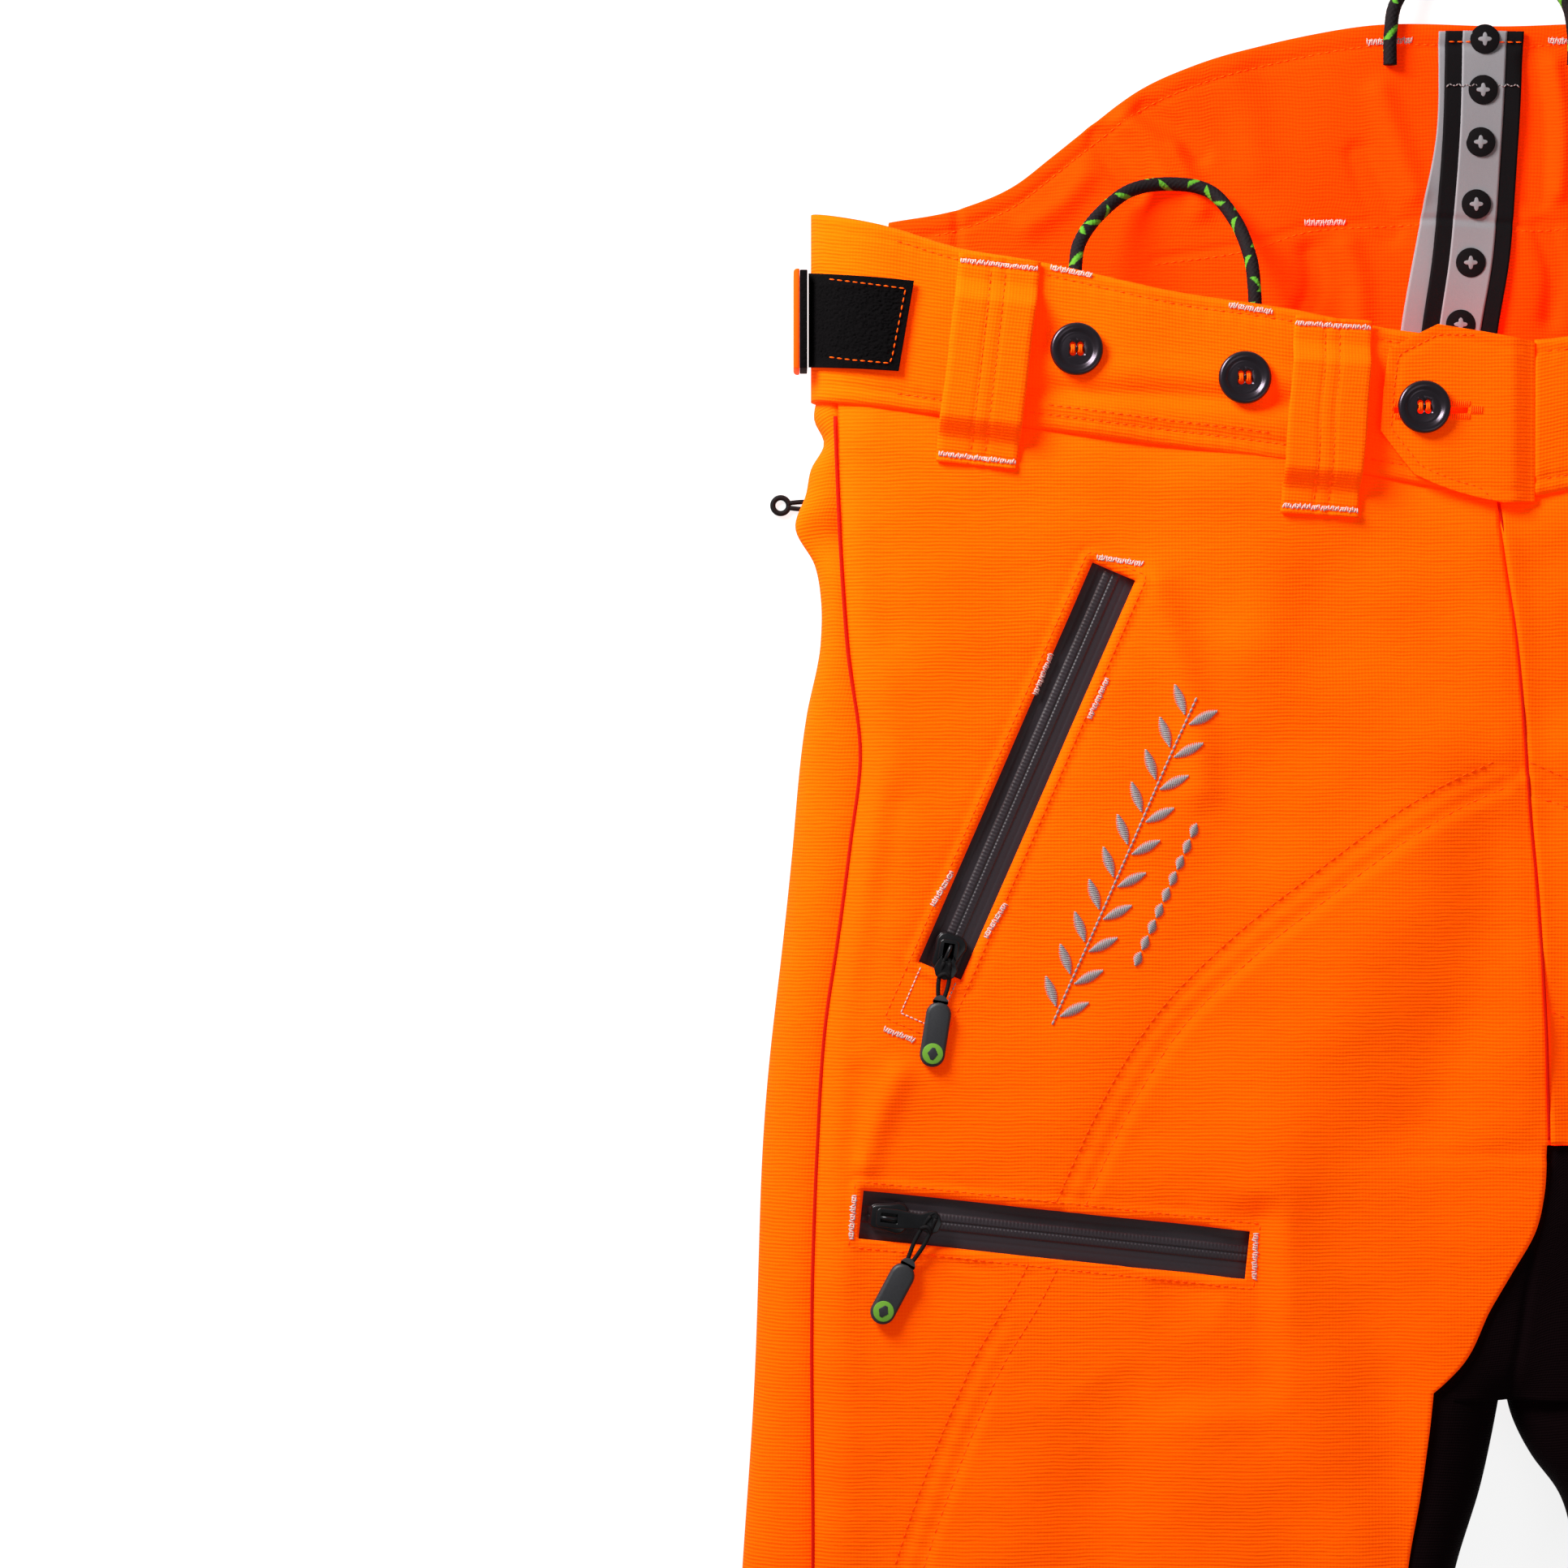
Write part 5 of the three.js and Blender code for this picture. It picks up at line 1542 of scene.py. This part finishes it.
def stitches(name, dashes, material, body="trousers"):
    places = np.array([d[0] for d in dashes], float)
    turns = np.array([d[1] for d in dashes], float)
    sizes = np.array([d[2] for d in dashes], float)
    mesh = bpy.data.meshes.new(name)
    mesh.from_pydata((places * MM).tolist(), [], [])
    mesh.attributes.new("turn", "FLOAT_VECTOR", "POINT").data.foreach_set("vector", turns.ravel())
    mesh.attributes.new("size", "FLOAT_VECTOR", "POINT").data.foreach_set("vector", (sizes * MM).ravel())
    run = add_object(name, mesh)
    nodes = run.modifiers.new("Stitches", "NODES")
    nodes.node_group = STITCHES
    nodes[THICK_INPUT] = THREAD_THICKNESS
    nodes[COLOUR_INPUT] = material
    made = baked_mesh(run)
    bpy.data.objects.remove(run)
    made.name = name
    piece = add_object(name, made)
    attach(piece, body)
    return piece


# %% Rows of topstitching, tacks and embroidery as lists of dashes
SEAM_THREAD = 0.27
FINE_THREAD = 0.24


def dash_between(p, q, height, half_width, lift=0.12, shorten=0.86):
    (x0, y0), (x1, y1) = p, q
    z0, z1 = float(height(x0, y0)), float(height(x1, y1))
    span = math.hypot(x1 - x0, y1 - y0)
    middle = ((x0 + x1) / 2, (y0 + y1) / 2, (z0 + z1) / 2 + lift)
    turn = (0.0, -math.atan2(z1 - z0, span), math.atan2(y1 - y0, x1 - x0))
    return middle, turn, (max(span * shorten / 2, 0.2), half_width, half_width * 0.8)


def topstitch(points, height, pitch=3.0, half_width=0.3, gap=0.78, lift=0.12, curved=True):
    line = curve_points(points, pitch) if curved else straight_points(points, pitch)
    return [dash_between(p, q, height, half_width, lift, gap) for p, q in zip(line[:-1, :2], line[1:, :2])]


def straight_points(points, spacing):
    p = np.asarray(points, float)
    along = np.concatenate([[0], np.cumsum(np.linalg.norm(np.diff(p, axis=0), axis=1))])
    samples = np.linspace(0, along[-1], max(2, int(along[-1] / spacing) + 1))
    return np.stack([np.interp(samples, along, p[:, c]) for c in range(p.shape[1])], 1)


def tack(p, q, height, width=2.4, pitch=0.85, half_width=0.34, lift=0.35, seed=5):
    rng = np.random.default_rng(seed)
    (x0, y0), (x1, y1) = p, q
    length = math.hypot(x1 - x0, y1 - y0)
    way = np.array([x1 - x0, y1 - y0]) / length
    side = np.array([-way[1], way[0]])
    out = []
    for k, s in enumerate(np.arange(0, length, pitch)):
        centre = np.array([x0, y0]) + way * s + side * rng.uniform(-0.3, 0.3)
        lean = way * (0.45 if k % 2 else -0.1)
        reach = side * width / 2 * rng.uniform(0.8, 1.15)
        out.append(dash_between(centre - reach - lean, centre + reach + lean, height, half_width, lift, 1.0))
    for sign in (-0.25, 0.25):
        shift = side * sign * width
        core = [np.array([x0, y0]) + shift, np.array([x1, y1]) + shift]
        out += topstitch(core, height, 3.0, 0.28, 0.95, lift - 0.12, False)
    return out


def tabled(height, low, high, spacing=1.0):
    xs = np.arange(low[0], high[0] + spacing, spacing)
    ys = np.arange(low[1], high[1] + spacing, spacing)
    table = height(xs[None, :] + 0 * ys[:, None], ys[:, None] + 0 * xs[None, :])

    def read_height(x, y):
        u = min(max((x - xs[0]) / spacing, 0), len(xs) - 1.001)
        v = min(max((y - ys[0]) / spacing, 0), len(ys) - 1.001)
        i, j = int(u), int(v)
        u, v = u - i, v - j
        row = table[j:j + 2, i] * (1 - u) + table[j:j + 2, i + 1] * u
        return float(row[0] * (1 - v) + row[1] * v)

    return read_height


CLOTH_HEIGHT = {"right": tabled(lambda x, y: front_height(x, y, "right"), (-262, HEM), (16, 452)),
                "left": tabled(lambda x, y: front_height(x, y, "left"), (-12, HEM), (262, 452))}


def for_side(points, side):
    return [(x if side == "right" else -x, y) for x, y in points]


# %% Runs on the front panels
def offset_line(points, distance):
    p = np.asarray(points, float)
    way = np.gradient(p, axis=0)
    way /= np.linalg.norm(way, axis=1)[:, None]
    return p + distance * np.stack([-way[:, 1], way[:, 0]], 1)


def zip_rectangle(zipper, margin, extra_end=0.0):
    _, _, length = zip_frame(zipper)
    w = zipper["width"] / 2 + margin
    near, far = -margin - extra_end, length + margin
    corners = [(near, -w), (far, -w), (far, w), (near, w), (near, -w)]
    return [tuple(zip_place(zipper, a, c)) for a, c in corners]


GARAGE = 20.0
ZIP_ROW = 3.2
FLY_SEAMS = {"left": [[(9, 322), (20, 318), (40, 316)], [(14, 245), (24, 241), (44, 238)]]}
FRONT_TACKS = [((-147.8, 407), (-131.6, 404.6)), ((-164.2, 372.4), (-170.0, 357.9)),
               ((-144.2, 363.6), (-150.6, 349.6)), ((-199.6, 294.5), (-206.8, 282.6)),
               ((-180.7, 283.2), (-187.7, 271.3)), ((-223.8, 238.6), (-213, 234.5)),
               ((-234.6, 179.1), (-235.8, 163.5)), ((-91.2, 165.5), (-91.8, 149))]

pad_line = np.array(curve_points(PAD_ARC, 6))


def clear_of_zips(place):
    x, y = np.array([-abs(place[0])]), np.array([place[1]])
    return min(opening_distance(x, y, zipper)[0] for zipper in (HAND_ZIP, THIGH_ZIP)) > 1.6


for side in ("right", "left"):
    height = CLOTH_HEIGHT[side]
    dashes = []
    for distance in (1.2, -SEAM_OFFSET - 2.4):
        dashes += topstitch(for_side(offset_line(pad_line, distance), side), height, 3.3, SEAM_THREAD)
    dashes = [d for d in dashes if clear_of_zips(d[0])]
    for rectangle in (zip_rectangle(HAND_ZIP, ZIP_ROW, GARAGE), zip_rectangle(THIGH_ZIP, ZIP_ROW)):
        dashes += topstitch(for_side(rectangle, side), height, 2.9, FINE_THREAD, curved=False)
    sign = SIGN[side]
    for lift in (22, 25):
        ys = HEM + lift
        outer, inner = float(smooth(CREASE, ys)) - 4, float(front_inner(side, ys)) + 3
        dashes += topstitch([(sign * outer, ys), (sign * inner, ys)], height, 3.2, 0.26, curved=False)
    for seam in FLY_SEAMS.get(side, []):
        dashes += topstitch(seam, height, 3.0, 0.26)
    stitches(f"front_topstitch_{side}", dashes, THREAD)
    tacks = []
    for number, (p, q) in enumerate(FRONT_TACKS):
        ends = for_side([p, q], side)
        tacks += tack(ends[0], ends[1], height, seed=number)
    stitches(f"front_tacks_{side}", tacks, TACK_THREAD)
print("front stitches placed")

# %% Orange zip garages below the hand zips, edged with pale thread
for side in ("right", "left"):
    height = CLOTH_HEIGHT[side]
    _, _, length = zip_frame(HAND_ZIP)
    w = HAND_ZIP["width"] / 2 - 1.4
    slot = [tuple(zip_place(HAND_ZIP, a, c)) for a, c in ((-1.5, w), (-19.4, w), (-19.4, -w), (-1.5, -w))]
    rim = []
    for p, q in zip(slot, slot[1:]):
        rim += topstitch(for_side([p, q], side), height, 1.6, 0.3, 1.0, 0.2, False)
    stitches(f"garage_edge_{side}", rim, TACK_THREAD)

# %% Runs on the waistband, loops and tab
for side in ("right", "left"):
    reach = (-226, 8) if side == "right" else (8, 226)
    height = tabled(lambda x, y: band_height(x, y, side), (reach[0], 424), (reach[1], 530))
    start = -6.0 if side == "right" else -12.0
    xs = np.linspace(-220, start, 60)
    upper = [(x, float(smooth(BAND_UPPER, x)) - 4.5) for x in xs]
    lower = [(x, float(smooth(BAND_LOWER, x)) + 6.0) for x in xs]
    second = [(x, float(smooth(BAND_LOWER, x)) + 9.4) for x in np.linspace(-166, -86, 30)]
    dashes = []
    for line in (upper, lower, second):
        dashes += topstitch(for_side(line, side), height, 3.0, SEAM_THREAD)
    stitches(f"band_topstitch_{side}", dashes, THREAD)
    tacks = tack(*for_side([(-164.3, 510.5), (-149.3, 507.6)], side), height, seed=21)
    tacks += tack(*for_side([(-100.6, 497.2), (-85.5, 494.6)], side), height, seed=22)
    stitches(f"cord_tacks_{side}", tacks, TACK_THREAD)

for kind, loop in LOOPS.items():
    for side in ("right", "left"):
        sign = -SIGN[side]
        rows, ends = [], []
        half = loop["length"] / 2

        def over_loop(x, y, loop=loop, sign=sign):
            dx, dy = sign * x - loop["centre"][0], y - loop["centre"][1]
            c, s = math.cos(loop["angle"]), math.sin(loop["angle"])
            return float(loop_height(dx * c + dy * s, -dx * s + dy * c, loop["length"]))

        for across in (-2.6, 2.6):
            line = [loop_place(loop, a, across) for a in np.linspace(-half + 5, half - 5, 24)]
            rows += topstitch([(sign * x, y) for x, y in line], over_loop, 2.6, 0.22, 0.7)
        for end in (-half + 2.6, half - 2.6):
            p, q = (loop_place(loop, end, a) for a in (-loop["width"] / 2 + 0.8, loop["width"] / 2 - 0.8))
            ends += tack((sign * p[0], p[1]), (sign * q[0], q[1]), over_loop, 2.1, seed=int(end) + 60)
        stitches(f"loop_{kind}_rows_{side}", rows, THREAD)
        stitches(f"loop_{kind}_tacks_{side}", ends, TACK_THREAD)

tab_line = inset_outline(TAB_OUTLINE[1:-1], 3.6)
over_tab = tabled(tab_height, (-50, 422), (12, 494), 0.5)
stitches("tab_topstitch", topstitch(tab_line, over_tab, 2.7, 0.25, curved=False), THREAD, "tab_flap")
hole_rows = []
for x in np.arange(-42, -10.5, 0.75):
    y = BUTTON_AT[1] - 0.9
    for sign in ((-1, 1) if x < -15.6 else (0,)):
        reach = 1.5 if sign else 2.0
        middle = y + sign * 2.3
        ends = (x, middle - reach), (x + 0.15, middle + reach)
        hole_rows.append(dash_between(*ends, over_tab, 0.3, 0.25, 0.9))
stitches("buttonhole_stitch", hole_rows, THREAD, "tab_flap")


def patch_height(x, y):
    run = max(0.0, abs(x) - BAND_EDGE)
    return BAND_TOP + 2.1 - 0.5 * (run / 13) ** 2


for side in ("right", "left"):
    line = [(-216.4, 502.6), (-221.6, 476.0), (-236, 477.3), (-244, 478.4)]
    line2 = [(-216.4, 502.6), (-230, 504.4), (-244, 506.2)]
    rows = topstitch(for_side(line, side), patch_height, 2.7, 0.28, curved=False)
    rows += topstitch(for_side(line2, side), patch_height, 2.7, 0.28, curved=False)
    stitches(f"patch_topstitch_{side}", rows, THREAD)

# %% Runs on the back facing and the ribbon
facing_line = tabled(facing_height, (-210, 460), (210, 603))

rise_xs = np.linspace(-205, 205, 140)
edge_line = [(x, float(smooth(RISE_EDGE, x)) - 7.5) for x in rise_xs]
seam_line = [(x, y - 2.2) for x, y in curve_points(FACING_SEAM, 5)]
rows = topstitch(edge_line, facing_line, 3.0, FINE_THREAD)
rows += topstitch(seam_line, facing_line, 3.0, FINE_THREAD)
stitches("facing_topstitch", rows, THREAD)
tacks = []
for number, (p, q) in enumerate((((-69.6, 530.7), (-55, 531.2)), ((-47, 596.5), (-30.4, 597.3)),
                                 ((19.4, 597.3), (36, 596.6)), ((55, 531.2), (69.6, 530.7)))):
    tacks += tack(p, q, facing_line, 2.8, seed=40 + number)
stitches("facing_tacks", tacks, TACK_THREAD)
over_ribbon = tabled(lambda x, y: ribbon_height(x, y) + 0.3, (-30, 465), (14, 602))
stitches("ribbon_row", topstitch([(-18, 596.5), (9.6, 596.5)], over_ribbon, 2.8, 0.3, curved=False), THREAD)
zigzag = [(x, 580.6 + (0.8 if k % 2 else -0.8)) for k, x in enumerate(np.arange(-18.6, 9.6, 1.5))]
stitches("ribbon_zigzag", topstitch(zigzag, over_ribbon, 1.7, 0.26, 1.0, curved=False), GREY_THREAD)

# %% [markdown]
# The embroidery is a plain branch pattern beside the hand zip, and it has no letters. Each leaf is a
# block of satin stitches, and a row of small diamonds runs beside it.

# %% Embroidered branch
MOTIF_FROM, MOTIF_TO = np.array([-164.0, 240.0]), np.array([-112.6, 357.0])


def leaf(centre, angle, length, width, height, pitch=0.7):
    way = np.array([math.cos(angle), math.sin(angle)])
    across = np.array([-way[1], way[0]])
    out = []
    for s in np.arange(-length / 2 + pitch / 2, length / 2, pitch):
        reach = width / 2 * math.cos(math.pi * s / length) ** 0.8
        p = centre + way * (s - 0.5) - across * reach
        q = centre + way * (s + 0.5) + across * reach
        out.append(dash_between(p, q, height, 0.42, 0.42, 1.04))
    return out


def branch(side):
    height = CLOTH_HEIGHT[side]
    way = (MOTIF_TO - MOTIF_FROM) / np.linalg.norm(MOTIF_TO - MOTIF_FROM)
    across = np.array([-way[1], way[0]])
    base = math.atan2(way[1], way[0])
    total = np.linalg.norm(MOTIF_TO - MOTIF_FROM)
    dashes = []
    for k, s in enumerate(np.linspace(6, total - 8, 10)):
        for sign in (-1, 1):
            centre = MOTIF_FROM + way * (s + 2.4 + (2.6 if sign > 0 else 0)) + across * sign * 5.2
            dashes += leaf(centre, base + sign * 0.72, 11.5, 4.4, height)
    spine = [tuple(MOTIF_FROM + way * s) for s in np.linspace(0, total, 40)]
    dashes += topstitch(spine, height, 2.0, 0.5, 1.1, 0.4)
    for s in np.linspace(34, 84, 9):
        dashes += leaf(MOTIF_FROM + way * s - across * 18.5, base, 5.2, 4.2, height, 0.65)
    return dashes


stitches("embroidered_branch", branch("right"), GREY_THREAD)
runs = [piece for piece in bpy.data.objects if "stitch" in piece.name or "tack" in piece.name]
print("all stitches placed:", len(runs), "runs")

# %% [markdown]
# ## Floor, light and camera
# The trousers are seen from straight above. A key light from the waist end on the wearer's right models
# the folds. A weak even surround softens the shadows, and the floor glows a little to stay almost white.

# %% Floor and lights
floor_mesh = bpy.data.meshes.new("floor")
floor_mesh.from_pydata([(-6, -6, 0), (6, -6, 0), (6, 6, 0), (-6, 6, 0)], [], [(0, 1, 2, 3)])
floor = add_object("floor", floor_mesh)
floor_mesh.materials.append(glowing(new_material("pale_floor", (0.35, 0.35, 0.35), 0.9), (1, 1, 1), 0.85))

world = bpy.data.worlds.new("soft_studio")
bpy.context.scene.world = world
world.use_nodes = True
world.node_tree.nodes["Background"].inputs["Color"].default_value = (1, 1, 1, 1)
world.node_tree.nodes["Background"].inputs["Strength"].default_value = 0.17


def area_light(name, place, target, size, power):
    data = bpy.data.lights.new(name, "AREA")
    data.shape = "SQUARE"
    data.size = size
    data.energy = power
    light = add_object(name, data)
    light.location = place
    light.rotation_euler = (Vector(target) - Vector(place)).to_track_quat("-Z", "Y").to_euler()


area_light("key", (-0.72, 1.0, 0.52), (-0.15, 0.28, 0), 0.4, 14.5)
area_light("fill", (0.9, -0.5, 1.9), (-0.1, 0.1, 0), 1.2, 4)

# %% Camera straight above the waist and right thigh
VIEW_CENTRE = (-0.2597, 0.3261)
VIEW_WIDTH = 0.56
LENS = 100
SENSOR = 36
camera_data = bpy.data.cameras.new("camera")
camera_data.lens = LENS
camera_data.sensor_width = SENSOR
camera = add_object("camera", camera_data)
camera.location = (*VIEW_CENTRE, TOP * MM + VIEW_WIDTH * LENS / SENSOR)
bpy.context.scene.camera = camera
bpy.context.scene.view_settings.view_transform = "Standard"

# %% Update the scene
bpy.context.view_layer.update()
